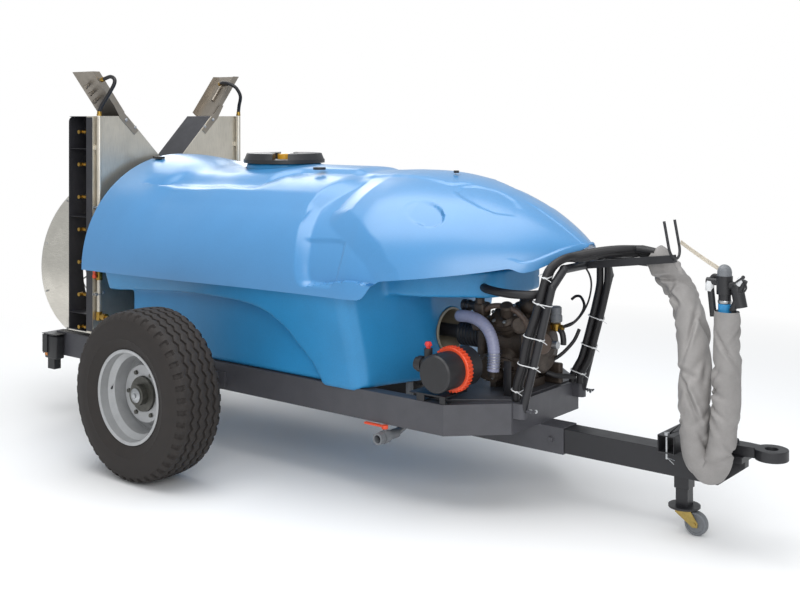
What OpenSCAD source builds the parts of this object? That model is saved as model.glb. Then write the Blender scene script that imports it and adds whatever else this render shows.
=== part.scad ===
// Trailed air-blast sprayer for orchards and vineyards.
// Millimetres. Every place is measured from the axle: x forward to the tow eye, y to the left,
// z up from the ground. from_axle() then moves the whole cart so that its origin lies on the
// ground, midway between its front and its rear.

/* [Wheels] */
// Outside diameter of a tyre
tyre_d = 760; // [730:5:800]
// Width of a tyre
tyre_w = 264; // [240:2:280]
// Diameter over the rim's flanges
rim_d = 423; // [400:1:440]
// Distance between the two tyres' middle planes
track = 1730; // [1700:5:1800]
// Diameter of the stub axles
stub_d = 60; // [50:1:66]
// Diameter of the circle of wheel studs
stud_pcd = 205; // [195:1:215]

/* [Chassis] */
// Width over the two side rails
chassis_w = 928; // [910:2:940]
// Height of the side rails
rail_h = 127; // [120:1:134]
// Width of the rails' flanges
rail_flange = 60; // [50:1:64]
// Thickness of the rails' steel
rail_t = 6; // [4:0.5:8]
// Depth of the rails' underside below the axle's centre
rail_drop = 49; // [46:1:54]
// Rear end of the rails, behind the axle
rail_rear = 1260; // [1240:5:1280]
// Where the rails turn inwards, ahead of the axle
bend_x = 1362; // [1350:1:1380]
// Front face of the front crossbar, ahead of the axle
nose_x = 1566; // [1550:1:1590]
// Width of the front crossbar
nose_w = 538; // [520:2:560]
// Side of the square axle beam
axle_side = 70; // [60:1:74]

/* [Drawbar] */
// Side of the square drawbar
bar_side = 100; // [90:1:104]
// Wall of the drawbar
bar_wall = 6; // [4:0.5:8]
// Wall of the socket that holds the drawbar
socket_wall = 5; // [4:0.5:8]
// Front end of the socket, ahead of the axle
socket_front = 1680; // [1660:5:1700]
// Front end of the square drawbar, ahead of the axle
bar_front = 2340; // [2320:5:2360]
// Centre of the tow eye, ahead of the axle
eye_x = 2540; // [2520:5:2560]
// Outside diameter of the tow eye
eye_d = 124; // [116:1:132]
// Bore of the tow eye
eye_bore = 50; // [44:1:56]
// Thickness of the tow eye
eye_t = 40; // [34:1:46]

/* [Parking stand] */
// Centre of the parking stand, ahead of the axle
stand_x = 2192; // [2180:1:2200]
// Side of the stand's square leg
leg_side = 50; // [44:1:54]
// Wall of the sleeve around the leg
sleeve_wall = 5; // [4:0.5:7]
// Length of the sleeve below the drawbar
sleeve_drop = 50; // [40:1:60]
// Height of the caster from the ground to its top plate
caster_h = 100; // [96:1:110]
// Diameter of the caster wheel
caster_d = 92; // [80:1:96]
// Width of the caster wheel
caster_w = 32; // [26:1:36]
// Distance from the swivel axis to the caster wheel's axis
caster_trail = 50; // [46:1:56]
// Side of the square tube that stores the leg
store_side = 70; // [64:1:74]
// Length of that tube across the drawbar
store_len = 220; // [200:2:240]

/* [Tank] */
// Half width of the tank at its floor
tank_half_low = 482; // [476:1:490]
// Half width of the tank at the foot of the hood
tank_half_high = 590; // [570:1:600]
// Wall of the tank
tank_wall = 9; // [6:0.5:12]
// Rear face of the tank, behind the axle
tank_rear = 710; // [700:1:720]
// Front corners of the tank, ahead of the axle
tank_corner = 950; // [930:1:970]
// Front of the tank's middle, ahead of the axle
tank_nose = 1062; // [1050:1:1075]
// Clearance between the tank's crown and the hood's
crown_gap = 50; // [40:1:60]
// Radius of the tunnel for the drive shaft
tunnel_r = 100; // [90:1:105]
// Height of the drive shaft above the rails
shaft_h = 202; // [195:1:210]
// Radius of the filler neck
neck_r = 190; // [170:1:195]

/* [Hood] */
// Clearance between the tank's side and the hood's edge
side_gap = 46; // [40:1:56]
// Wall of the hood
hood_wall = 6; // [4:0.5:8]
// Rear edge of the hood, behind the axle
hood_rear = 800; // [790:1:810]
// Tip of the hood, ahead of the axle
hood_tip = 1775; // [1760:1:1790]
// Height of the hood's crown above the rails
hood_crown = 930; // [920:1:940]
// Height of the hood's side edge above the rails, at the rear
hood_edge = 388; // [380:1:396]
// Height of the hood's tip above the rails
tip_h = 628; // [615:1:640]

/* [Fan] */
// Front face of the fan housing, behind the axle
fan_x = 863; // [855:1:870]
// Depth of the fan housing
fan_depth = 205; // [190:1:215]
// Half width of the fan housing
fan_half = 522; // [515:1:530]
// Height of the housing's shoulders above the rails
fan_top = 1169; // [1150:1:1180]
// Height of the fan's axis above the rails
fan_h = 344; // [335:1:350]
// Radius of the fan cowl
cowl_r = 500; // [485:1:505]
// Length of the fan cowl
cowl_len = 304; // [290:2:314]
// Radius over the fan's blades
blade_r = 425; // [400:1:430]
// Number of fan blades
blades = 9; // [6:1:10]
// Pitch of the fan blades
blade_pitch = 35; // [25:1:40]
// Number of nozzles on each side
nozzle_count = 7; // [5:1:7]
// Length of the upper arms
arm_len = 292; // [280:1:310]
// Lean of the upper arms from the vertical
arm_lean = 37.4; // [34:0.2:39]

/* [Pump and filter] */
// Centre of the pump, ahead of the axle
pump_x = 1420; // [1410:1:1425]
// Length of the pump's crankcase
pump_len = 190; // [180:1:196]
// Radius of the splined shaft for the tractor
pto_r = 17.4; // [16:0.1:18]
// Outside diameter of the suction hose
suction_d = 47; // [42:1:52]
// Outside diameter of the filter's ring nut
filter_d = 190; // [180:1:200]

/* [Hose support] */
// Height of the support's arm above the rails, at its rear
arch_h = 552; // [545:1:560]
// Diameter of the support's posts
post_d = 34; // [30:1:38]
// Side of the support's square arm
arch_side = 30; // [26:1:34]
// Diameter of the pressure hoses
hose_d = 26; // [22:1:28]

/* [Hidden] */

$fn = 48;
fit = 0.3;                      // gap between pieces that rest against each other
run = 0.05;                     // radial gap of a shaft in its bearing
over = 1;                       // how far a cutter runs past the face that it cuts

// Reach of the cart, from the axle to its front and to its rear
front_reach = eye_x + eye_d / 2;
rear_reach = fan_x + fan_depth + cowl_len;
axle_x = (rear_reach - front_reach) / 2;

// Heights
axle_z = tyre_d / 2;
rail_z = axle_z - rail_drop;
deck = rail_z + rail_h;
half_track = track / 2;
rail_y = chassis_w / 2;
shaft_z = deck + shaft_h;
fan_z = deck + fan_h;
bar_z = rail_z - socket_wall - bar_side / 2;
tank_crown = hood_crown - crown_gap;
hood_w = 2 * (tank_half_high + side_gap);

// Colours
dark_steel = "#46464a";
black = "#1d1d1f";
tank_blue = "#2f86bd";
hood_blue = "#4c97d6";
stainless = "#b9b5a8";
brass = "#b08d3c";
orange = "#e8502a";

module from_axle() { translate([axle_x, 0, 0]) children(); }
module box(x, y, z) {
    translate([x[0], y[0], z[0]]) cube([x[1] - x[0], y[1] - y[0], z[1] - z[0]]);
}
// A cylinder between two heights, along z at x and y
module post(x, y, z, r) { translate([x, y, z[0]]) cylinder(r = r, h = z[1] - z[0]); }
// A cylinder along x, from x[0] to x[1]
module bar_x(x, y, z, r) { translate([x[0], y, z]) rotate([0, 90, 0]) cylinder(r = r, h = x[1] - x[0]); }
// A cylinder along y, from y[0] to y[1]
module bar_y(x, y, z, r) { translate([x, y[0], z]) rotate([-90, 0, 0]) cylinder(r = r, h = y[1] - y[0]); }
// Turns a profile of [radius, x] round the cart's x axis at a height
module turn_x(z) { translate([0, 0, z]) rotate([0, 90, 0]) rotate_extrude($fn = 96) children(); }
module both_sides() { children(); mirror([0, 1, 0]) children(); }

// ---- Swept tubes ------------------------------------------------------------------------
function unit(v) = v / norm(v);
// Catmull-Rom curve through the points, in equal steps between each two
function mix(p, i, t) =
    let (a = p[max(i - 1, 0)], b = p[i], c = p[i + 1], d = p[min(i + 2, len(p) - 1)])
    0.5 * (2 * b + (c - a) * t + (2 * a - 5 * b + 4 * c - d) * t * t + (3 * b - a - 3 * c + d) * t * t * t);
function curve(p, steps) = [
    for (i = [0:len(p) - 2]) for (k = [0:steps - 1]) mix(p, i, k / steps),
    p[len(p) - 1]
];
function heading(p, i) = unit(p[min(i + 1, len(p) - 1)] - p[max(i - 1, 0)]);
// One ring of points round the route, with side as the direction that stays level
function ring(p, i, r, n, side) =
    let (t = heading(p, i), u = unit(cross(t, cross(side, t))), v = cross(u, t))
    [for (k = [0:n - 1]) p[i] + r * (u * cos(360 * k / n) + v * sin(360 * k / n))];
function quad(a, b, c, d) = [[a, b, c], [a, c, d]];
function skin(rings, n) = [
    for (i = [0:rings - 2]) for (k = [0:n - 1])
        each quad(i * n + k, i * n + (k + 1) % n, (i + 1) * n + (k + 1) % n, (i + 1) * n + k)
];
function cap(first, n, turned) = [
    for (k = [1:n - 2]) turned ? [first, first + k, first + k + 1] : [first, first + k + 1, first + k]
];
module tube(route, r, n = 8, side = [0, 1, 0]) {
    rings = [for (i = [0:len(route) - 1]) ring(route, i, r, n, side)];
    polyhedron([for (q = rings) each q],
        [each skin(len(route), n), each cap(0, n, false), each cap((len(route) - 1) * n, n, true)]);
}

// ---- Chassis ----------------------------------------------------------------------------
// Plan of a band along the outside of the right rail
function rail_band(w) = [
    [-rail_rear, -rail_y], [bend_x, -rail_y], [nose_x, -nose_w / 2],
    [nose_x - w * 0.9, -nose_w / 2 + w * 1.05], [bend_x - w * 0.45, -rail_y + w], [-rail_rear, -rail_y + w]
];
module rail() {
    difference() {
        union() {
            translate([0, 0, rail_z]) linear_extrude(rail_h) polygon(rail_band(rail_t));
            translate([0, 0, rail_z]) linear_extrude(rail_t) polygon(rail_band(rail_flange));
            translate([0, 0, deck - rail_t]) linear_extrude(rail_t) polygon(rail_band(rail_flange));
        }
        box([-axle_side / 2 - fit, axle_side / 2 + fit], [-rail_y - over, -rail_y + rail_t + over],
            [axle_z - axle_side / 2 - fit, axle_z + axle_side / 2 + fit]);
        box([nose_x - rail_flange, nose_x + over], [-nose_w / 2 - over, 0], [rail_z - over, deck + over]);
    }
}
module rail_right() { color(dark_steel) from_axle() rail(); }
module rail_left() { color(dark_steel) from_axle() mirror([0, 1, 0]) rail(); }
module front_crossbar() {
    socket_side = bar_side + 2 * fit + 2 * socket_wall;
    socket_z = rail_z - socket_side;
    color(dark_steel) from_axle() {
        difference() {
            box([nose_x - rail_flange + fit, nose_x], [-nose_w / 2, nose_w / 2], [rail_z, deck]);
            box([nose_x - rail_flange, nose_x - rail_t], [-nose_w / 2 - over, nose_w / 2 + over],
                [rail_z + rail_t, deck - rail_t]);
        }
        difference() {
            box([socket_rear, socket_front], [-socket_side / 2, socket_side / 2], [socket_z, rail_z]);
            box([socket_rear - over, socket_front + over],
                [-socket_side / 2 + socket_wall, socket_side / 2 - socket_wall],
                [socket_z + socket_wall, rail_z - socket_wall]);
        }
        // Cross bolt that locks the drawbar in its socket
        both_sides() bar_y(bolt_x, [-socket_side / 2 - 10, -socket_side / 2], bar_z, 12, $fn = 6);
    }
}
socket_rear = 1180;
bolt_x = 1620;
member_t = 60;
member_x = [-700, 60, 1180];
module crossmembers() {
    inner = rail_y - rail_t - fit;
    color(dark_steel) from_axle() {
        for (x = member_x) difference() {
            box([x, x + member_t], [-inner, inner], [rail_z + rail_t + fit, deck - rail_t - fit]);
            box([x + rail_t, x + member_t - rail_t], [-inner - over, inner + over],
                [rail_z + 2 * rail_t, deck - 2 * rail_t]);
        }
        // Tray under the pump
        translate([0, 0, deck + fit]) linear_extrude(tray_t)
            polygon([[tray_rear, -tray_half], [bend_x - 20, -tray_half], [nose_x - 20, -nose_w / 2 + 40],
                [nose_x - 20, nose_w / 2 - 40], [bend_x - 20, tray_half], [tray_rear, tray_half]]);
    }
}
tray_t = 5;
tray_rear = 1120;
tray_half = 380;

// ---- Axle and wheels --------------------------------------------------------------------
hub_in = 95;                    // from the tyre's middle plane in to the hub's inner end
hub_out = 40;                   // from the tyre's middle plane out to the stub's end
disc_in = 10;                   // from the tyre's middle plane in to the wheel disc's seat
module axle_beam() {
    end_y = half_track - hub_in - 2;
    color(dark_steel) from_axle() {
        box([-axle_side / 2, axle_side / 2], [-end_y, end_y],
            [axle_z - axle_side / 2, axle_z + axle_side / 2]);
        both_sides() {
            bar_y(0, [-half_track - hub_out, -end_y], axle_z, stub_d / 2);
            // Collar that takes the hub's inner face
            bar_y(0, [-end_y - 1.7, -end_y], axle_z, stub_d / 2 + 8);
            // Gussets that carry the beam against the rail
            for (s = [-1, 1]) box([s * (axle_side / 2 + gusset / 2)
                - gusset / 2, s * (axle_side / 2 + gusset / 2) + gusset / 2],
                [-rail_y - fit - gusset_t, -rail_y - fit], [axle_z - axle_side / 2, axle_z + axle_side / 2]);
        }
    }
}
gusset = 50;
gusset_t = 8;
// Half section of the tyre: [radius, across]
function tyre_half() = let (r = tyre_d / 2, w = tyre_w / 2, b = rim_d / 2) [
    [r, 0], [r - 1, w * 0.45], [r - 5, w * 0.74], [r - 16, w * 0.88], [r - 34, w * 0.95],
    [r - 70, w * 0.995], [r - 95, w], [b + 46, w * 0.965], [b + 22, w * 0.9], [b + 6, w * 0.83],
    [b + 1, rim_seat - fit], [b - 10.5, rim_seat - fit]
];
rim_seat = tyre_w / 2 * 0.79;          // from the tyre's middle plane to the rim's flange
function tyre_inside() = let (r = tyre_d / 2, w = tyre_w / 2, b = rim_d / 2) [
    [b - 10.5, w * 0.6], [b + 30, w * 0.78], [r - 95, w * 0.86], [r - 45, w * 0.78], [r - 30, 0]
];
function mirrored(p) = [for (i = [len(p) - 1:-1:0]) [p[i][0], -p[i][1]]];
groove_y = [-62, -22, 22, 62];
groove_w = 9;
groove_t = 11;
module tyre_at_origin() {
    rotate([90, 0, 0]) rotate_extrude($fn = 96) difference() {
        polygon([each tyre_half(), each tyre_inside(), each mirrored(tyre_inside()),
            each mirrored(tyre_half())]);
        for (g = groove_y) translate([tyre_d / 2 - groove_t, g - groove_w / 2])
            square([groove_t + over, groove_w]);
    }
}
module rim_at_origin() {
    b = rim_d / 2;
    w = tyre_w / 2;
    seat = rim_seat;
    well = b - 34;
    difference() {
        union() {
            rotate([90, 0, 0]) rotate_extrude($fn = 96) polygon([
                [b, seat + 6], [b, seat + 1], [b - 11, seat], [b - 11, seat * 0.6], [well, seat * 0.42],
                [well, -seat * 0.42], [b - 11, -seat * 0.6], [b - 11, -seat], [b, -seat - 1], [b, -seat - 6],
                [b - 15, -seat - 4], [b - 15, -seat * 0.62], [well - 5, -seat * 0.44],
                    [well - 5, seat * 0.44],
                [b - 15, seat * 0.62], [b - 15, seat + 4]]);
            // Dished disc
            rotate([90, 0, 0]) rotate_extrude($fn = 96) polygon([
                [hub_pilot + 1, disc_in], [stud_pcd / 2 + 22, disc_in], [stud_pcd / 2 + 40, -disc_in * 2.4],
                [well - 4.5, -disc_in * 3.4], [well - 4.5, -disc_in * 2.6],
                    [stud_pcd / 2 + 44, -disc_in * 1.6],
                [stud_pcd / 2 + 26, disc_in + disc_t], [hub_pilot + 1, disc_in + disc_t]]);
        }
        for (k = [0:5]) rotate([0, 60 * k, 0]) translate([stud_pcd / 2, 0, 0])
            rotate([90, 0, 0]) cylinder(r = stud_r + 1, h = 100, center = true);
    }
}
disc_t = 8;
stud_r = 9;
hub_pilot = 78;
flange_t = 14;
// Hub with its studs and nuts; outward is -y
module hub_at_origin() {
    difference() {
        union() {
            // Flange against the disc's inner face
            bar_y(0, [disc_in + disc_t + fit, disc_in + disc_t + fit + flange_t], 0, stud_pcd / 2 + 20);
            bar_y(0, [-30, disc_in + disc_t + fit + flange_t], 0, hub_pilot);
            bar_y(0, [0, hub_in], 0, 58);
            bar_y(0, [-62, -30], 0, 46);
            for (k = [0:5]) rotate([0, 60 * k, 0]) {
                bar_y(stud_pcd / 2, [-26, disc_in + disc_t + fit + 2], 0, stud_r);
                bar_y(stud_pcd / 2, [-8, disc_in - fit], 0, 15, $fn = 6);
            }
        }
        bar_y(0, [-hub_out - 4, hub_in + over], 0, stub_d / 2 + run);
    }
}
module at_wheel(s) { from_axle() translate([0, s * half_track, axle_z]) mirror([0, s > 0 ? 1 : 0, 0])
    children(); }
module tyre_right() { color(black) at_wheel(-1) tyre_at_origin(); }
module tyre_left() { color(black) at_wheel(1) tyre_at_origin(); }
module rim_right() { color("#b4b6b8") at_wheel(-1) rim_at_origin(); }
module rim_left() { color("#b4b6b8") at_wheel(1) rim_at_origin(); }
module hub_right() { color("#9a9c9f") at_wheel(-1) hub_at_origin(); }
module hub_left() { color("#9a9c9f") at_wheel(1) hub_at_origin(); }

// ---- Drawbar and stand ------------------------------------------------------------------
bar_rear = 1300;
bar_top = bar_z + bar_side / 2;
bar_low = bar_z - bar_side / 2;
sleeve_out = leg_side / 2 + fit + sleeve_wall;
store_x = 2165;
pin_y = -store_len / 2 + 10;
pin_r = 5;
head_t = 30;
head_plate = 22;
eye_z = bar_top + eye_t / 2 + head_plate;
module drawbar() {
    h = bar_side / 2;
    color(black) from_axle() difference() {
        union() {
            difference() {
                box([bar_rear, bar_front], [-h, h], [bar_low, bar_top]);
                box([bar_rear - over, bar_front - bar_wall], [-h + bar_wall, h - bar_wall],
                    [bar_low + bar_wall, bar_top - bar_wall]);
            }
            // Sleeve that the stand's leg slides in
            box([stand_x - sleeve_out, stand_x + sleeve_out], [-sleeve_out, sleeve_out],
                [bar_low - sleeve_drop, bar_top]);
            // Tapered head under the tow eye
            translate([0, h, 0]) rotate([90, 0, 0]) linear_extrude(bar_side)
                polygon([[bar_front - over, bar_low], [bar_front + 10, bar_low], [head_front, bar_top - 26],
                    [head_front, bar_top + head_plate], [bar_front - 60, bar_top + head_plate],
                    [bar_front - 60, bar_top - over], [bar_front - over, bar_top - over]]);
            // Tube that stores the stand's leg
            difference() {
                box([store_x - store_side / 2, store_x + store_side / 2], [-store_len / 2, store_len / 2],
                    [bar_top, bar_top + store_side]);
                box([store_x - store_side / 2 + sleeve_wall, store_x + store_side / 2 - sleeve_wall],
                    [-store_len / 2 - over, store_len / 2 + over],
                    [bar_top + sleeve_wall, bar_top + store_side - sleeve_wall]);
            }
        }
        box([stand_x - leg_side / 2 - fit, stand_x + leg_side / 2 + fit],
            [-leg_side / 2 - fit, leg_side / 2 + fit], [bar_low - sleeve_drop - over, bar_top - bar_wall]);
        post(store_x, pin_y, [bar_top - over, bar_top + store_side + over], pin_r + fit);
        box([bar_front + 30, head_front + over], [-h - over, -h + head_t], [bar_low - over, bar_top - 3]);
        box([bar_front + 30, head_front + over], [h - head_t, h + over], [bar_low - over, bar_top - 3]);
    }
}
head_front = bar_front + 105;
module tow_eye() {
    color(black) from_axle() difference() {
        union() {
            translate([eye_x, 0, eye_z - eye_t / 2]) cylinder(r = eye_d / 2, h = eye_t, $fn = 64);
            translate([0, 0, eye_z - eye_t / 2]) linear_extrude(eye_t)
                polygon([[bar_front - 50, -34], [head_front, -34], [eye_x - 30, -26], [eye_x - 10, -26],
                    [eye_x - 10, 26], [eye_x - 30, 26], [head_front, 34], [bar_front - 50, 34]]);
            for (x = [bar_front - 20, bar_front + 60])
                post(x, 0, [eye_z + eye_t / 2 - over, eye_z + eye_t / 2 + 14], 15, $fn = 6);
        }
        post(eye_x, 0, [eye_z - eye_t, eye_z + eye_t], eye_bore / 2);
    }
}
module storage_pin() {
    top = bar_top + store_side;
    color("#c9c9c9") from_axle() {
        post(store_x, pin_y, [bar_top - 22, top + 2], pin_r);
        post(store_x, pin_y, [top + fit, top + 10], pin_r + 6);
        // Spring clip through the pin's lower end
        translate([store_x, pin_y, bar_top - 16]) rotate([0, 90, -25]) cylinder(r = 1.6, h = 46);
        translate([store_x, pin_y, bar_top - 16]) rotate([0, 110, -25]) cylinder(r = 1.6, h = 44);
    }
}
leg_top = bar_top - bar_wall - 6;
module stand_leg() {
    color(black) from_axle() {
        difference() {
            box([stand_x - leg_side / 2, stand_x + leg_side / 2], [-leg_side / 2, leg_side / 2],
                [caster_h + disc_h, leg_top]);
            box([stand_x - leg_side / 2 + 4, stand_x + leg_side / 2 - 4],
                [-leg_side / 2 + 4, leg_side / 2 - 4],
                [caster_h + disc_h + 4, leg_top + over]);
        }
        difference() {
            post(stand_x, 0, [caster_h, caster_h + disc_h], 62);
            post(stand_x, 0, [caster_h - over, caster_h + disc_h - 2], swivel_r + run);
        }
    }
}
disc_h = 8;
swivel_r = 8;
caster_axle_r = 6;
module caster_fork() {
    wz = caster_d / 2;
    wx = stand_x + caster_trail;
    cheek = caster_w / 2 + 2;
    color("#b39a55") from_axle() difference() {
        union() {
            post(stand_x, 0, [caster_h - 2, caster_h + disc_h - 2.5], swivel_r);
            post(stand_x, 0, [caster_h - 14, caster_h - fit], 33);
            for (s = [-1, 1]) translate([0, s * (cheek + 1.5) + 1.5, 0]) rotate([90, 0, 0]) linear_extrude(3)
                polygon([[stand_x - 30, caster_h - 4], [stand_x + 32, caster_h - 4], [wx + 14, wz + 4],
                    [wx + 12, wz - 12], [wx - 8, wz - 14], [stand_x - 30, caster_h - 20]]);
            box([stand_x - 30, stand_x + 30], [-cheek - 3, cheek + 3], [caster_h - 8, caster_h - 4]);
            bar_y(wx, [-cheek - 8, cheek + 8], wz, caster_axle_r);
        }
        translate([wx, 0, wz]) rotate([90, 0, 0]) difference() {
            cylinder(r = caster_d / 2 + 2, h = caster_w + 3, center = true);
            cylinder(r = caster_axle_r, h = caster_w + 4, center = true);
        }
    }
}
module caster_wheel() {
    r = caster_d / 2;
    w = caster_w / 2;
    color("#8d8f92") from_axle() translate([stand_x + caster_trail, 0, r]) rotate([90, 0, 0])
        rotate_extrude($fn = 64) polygon([[caster_axle_r + run, -w], [15, -w], [17, -w + 5],
            [r - 12, -w + 5],
            [r - 10, -w], [r - 3, -w + 1], [r, -w + 7], [r, w - 7], [r - 3, w - 1], [r - 10, w],
            [r - 12, w - 5], [17, w - 5], [15, w], [caster_axle_r + run, w]]);
}

// ---- Tank -------------------------------------------------------------------------------
neck_x = 15;
neck_wall = 9;
neck_top = deck + hood_crown + 4;
tank_edge_h = 430;              // where the tank's sides turn into its crown, above the rails
tank_floor = -24;               // the tank's skirts reach this far below the rails' top
corner_r = 42;
recess_half = rail_y - 10;      // half width of the tank between the wheels
arch_n = 10;
// Right half of the tank's section, from the floor to the crown: g draws it in, k narrows it
function tank_half(k, g) =
    let (a = (tank_half_low - g) * k, b = (tank_half_high - g) * k, f = deck + tank_floor + g,
        e = deck + tank_edge_h, c = deck + tank_crown - g, r = min(corner_r, a * 0.6)) [
    for (t = [0:30:90]) [-a + r - r * sin(t), f + r - r * cos(t)],
    [-(a * 2 + b) / 3, deck + 150], [-(a + b * 2) / 3, deck + 310],
    for (i = [0:arch_n - 1]) let (t = 90 * i / arch_n) [-b * pow(cos(t), 0.9), e + (c - e) * pow(sin(t),
        0.9)]
];
function tank_ring(x, k, g) = let (h = tank_half(k, g), n = len(h)) [
    for (p = h) [x, p[0], p[1]], [x, 0, deck + tank_crown - g],
    for (i = [n - 1:-1:0]) [x, -h[i][0], h[i][1]]
];
// [x, narrowing, draw-in] along the tank; w moves the ends in by the wall
function tank_rows(w) = let (r = -tank_rear + w, c = tank_corner - w, n = tank_nose - w) [
    [r, 1, 26 + w], [r + 10, 1, 9 + w], [r + 28, 1, w], [r + 500, 1, w], [c - 70, 1, w],
    [c - 30, 0.985, w + 2], [c, 0.93, w + 5], [c + (n - c) * 0.25, 0.74, w + 9],
    [c + (n - c) * 0.6, 0.52, w + 13], [c + (n - c) * 0.88, 0.36, w + 18], [n, 0.27, w + 28]
];
module loft(rings) {
    n = len(rings[0]);
    m = len(rings);
    polyhedron([for (q = rings) each q],
        [each skin(m, n), each cap(0, n, false), each cap((m - 1) * n, n, true)]);
}
module tank_form(w) { loft([for (q = tank_rows(w)) tank_ring(q[0], q[1], q[2])]); }
// Outline of the space for a wheel under the tank's ledge: [x, height above the rails]
arch_points = [[-620, 290], [-480, 302], [-300, 314], [0, 330], [250, 323], [405, 300], [517, 239],
    [591, 159], [669, 69], [715, -20]];
module wheel_recess(w) {
    inner = recess_half - w;
    both_sides() translate([0, -inner, 0]) rotate([90, 0, 0]) linear_extrude(200)
        polygon([[-tank_rear - 90, deck - 60], [-tank_rear - 90, deck + 284 + w],
            for (p = curve(arch_points, 3)) [p[0] + w, deck + p[1] + w], [715 + w, deck - 60]]);
    box([-tank_rear - 90, -tank_rear + 90 + w], [-tank_half_high, tank_half_high],
        [deck - 60, deck + 284 + w]);
}
module tank_body() {
    bore_r = neck_r - neck_wall - ledge;
    color(tank_blue) from_axle() difference() {
        union() {
            difference() {
                tank_form(0);
                difference() {
                    tank_form(tank_wall);
                    wheel_recess(tank_wall);
                    box([-tank_rear, tank_nose], [-tank_half_high, tank_half_high],
                        [deck - 60, deck + tank_wall]);
                    bar_x([-tank_rear - over, tank_nose + over], 0, shaft_z, tunnel_r + tank_wall);
                }
            }
            post(neck_x, 0, [deck + tank_crown - tank_wall - 6, neck_top], neck_r);
        }
        wheel_recess(0);
        box([-tank_rear - over, tank_nose + over], [-rail_y - fit, rail_y + fit], [deck - 60, deck]);
        bar_x([-tank_rear - over, tank_nose + over], 0, shaft_z, tunnel_r);
        post(neck_x, 0, [deck + tank_crown - 60, neck_top + over], bore_r);
        post(neck_x, 0, [neck_top - ledge, neck_top + over], neck_r - neck_wall);
    }
}
ledge = 10;

// ---- Hood -------------------------------------------------------------------------------
step_rear = 1010;               // where the side edge starts to rise
step_front = 1110;              // where it has risen
step_rise = 47;
nose_from = 950;                // where the hood starts to narrow
hump_h = 32;                    // rise of the crown at the rear
hump_end = -380;
dip_h = 14;                     // dip of the crown behind the filler
rear_bulge = 2.05;              // fullness of the hood's section, 2 is an ellipse
function smooth(a, b, x) = let (t = max(0, min(1, (x - a) / (b - a)))) t * t * (3 - 2 * t);
function nose_t(x) = max(0, (x - nose_from) / (hood_tip - nose_from));
function hood_half(x) = hood_w / 2 * pow(max(0, 1 - pow(nose_t(x), 1.5)), 0.68);
function hood_top(x) = deck + tip_h + (hood_crown - tip_h) * (1 - pow(nose_t(x), 2))
    + hump_h * (1 - smooth(-620, hump_end, x)) - dip_h * (smooth(-560, -360, x) - smooth(-220, 20, x));
function hood_base(x) = deck + hood_edge + 22 * smooth(-hood_rear, nose_from, x)
    + (tip_h - hood_edge - 22) * pow(nose_t(x), 3);
function hood_lip(x) = x < step_rear ? hood_base(x) :
    max(hood_base(x) + 3, deck + hood_edge + 22 + step_rise * smooth(step_rear, step_front, x)
        + 70 * smooth(step_front - 200, hood_tip + 350, x) * 1.6
        + (tip_h - hood_edge - 181) * pow(nose_t(x), 9));
hood_n = 24;
// Arch of the hood at x, drawn in by g
function hood_arch(x, g) =
    let (w = hood_half(x) - g, b = hood_base(x), c = hood_top(x) - g, e = rear_bulge,
        s = pow(max(0, (hood_lip(x) - b) / (c - b)), e / 2), a = asin(min(0.98, s))) [
    for (i = [0:hood_n]) let (t = a + (180 - 2 * a) * i / hood_n)
        [x, -w * sign(cos(t)) * pow(abs(cos(t)), 2 / e), b + (c - b) * pow(sin(t), 2 / e)]
];
function between(a, b, f) = a + (b - a) * f;
hood_x = [
    for (f = [0, 0.06, 0.1, 0.14, 0.18, 0.23, 0.3, 0.42, 0.56, 0.72, 0.88])
        between(-hood_rear, step_rear, f),
    for (f = [0:0.34:1.03]) between(step_rear, step_front, min(f, 1)),
    for (f = [0.14, 0.3, 0.46, 0.6, 0.72, 0.82, 0.9, 0.95, 0.98, 0.997]) between(step_front, hood_tip, f)
];
module hood_shell() {
    n = hood_n + 1;
    m = len(hood_x);
    inner_x = [for (x = hood_x) x - 2 * hood_wall * pow(nose_t(x), 6)];
    outer = [for (x = hood_x) hood_arch(x, 0)];
    inside = [for (i = [0:m - 1]) [for (p = hood_arch(inner_x[i], hood_wall)) p]];
    b = m * n;
    polyhedron([for (q = outer) each q, for (q = inside) each q], [
        for (i = [0:m - 2]) for (k = [0:n - 2]) each quad(i * n + k, i * n + k + 1, (i + 1)
            * n + k + 1, (i + 1) * n + k),
        for (i = [0:m - 2]) for (k = [0:n - 2])
            each quad(b + i * n + k, b + (i + 1) * n + k, b + (i + 1) * n + k + 1, b + i * n + k + 1),
        for (k = [0:n - 2]) each quad(k, b + k, b + k + 1, k + 1),
        for (k = [0:n - 2]) each quad(b - n + k, b - n + k + 1, 2 * b - n + k + 1, 2 * b - n + k),
        for (i = [0:m - 2]) each quad(i * n, (i + 1) * n, b + (i + 1) * n, b + i * n),
        for (i = [0:m - 2]) each quad(i * n + n - 1, b + i * n + n - 1, b + (i + 1) * n + n - 1, (i + 1)
            * n + n - 1)
    ]);
}
lid_r = neck_r + 15;
lid_t = 18;
lid_z = neck_top + fit;
hinge_x = neck_x - lid_r - 18;
hinge_z = lid_z + 8;
hinge_r = 5;
module tank_hood() {
    color(hood_blue) from_axle() {
        difference() {
            hood_shell();
            post(neck_x, 0, [deck + hood_crown - 80, neck_top + 20], neck_r + 4);
        }
        // Hinge lugs of the filler lid
        both_sides() difference() {
            box([hinge_x - 9, hinge_x + 9], [-58, -44], [hood_top(hinge_x) - hood_wall, hinge_z + 9]);
            bar_y(hinge_x, [-60, -40], hinge_z, hinge_r + run);
        }
    }
}
module filler_basket() {
    r = neck_r - neck_wall - ledge - 3;
    top = neck_top - ledge + 3 + fit;
    color(black) from_axle() difference() {
        union() {
            post(neck_x, 0, [neck_top - ledge + fit, top], neck_r - neck_wall - 1);
            post(neck_x, 0, [top - basket_h, top], r);
        }
        post(neck_x, 0, [top - basket_h + 3, top + over], r - 3);
    }
}
basket_h = 140;
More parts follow.
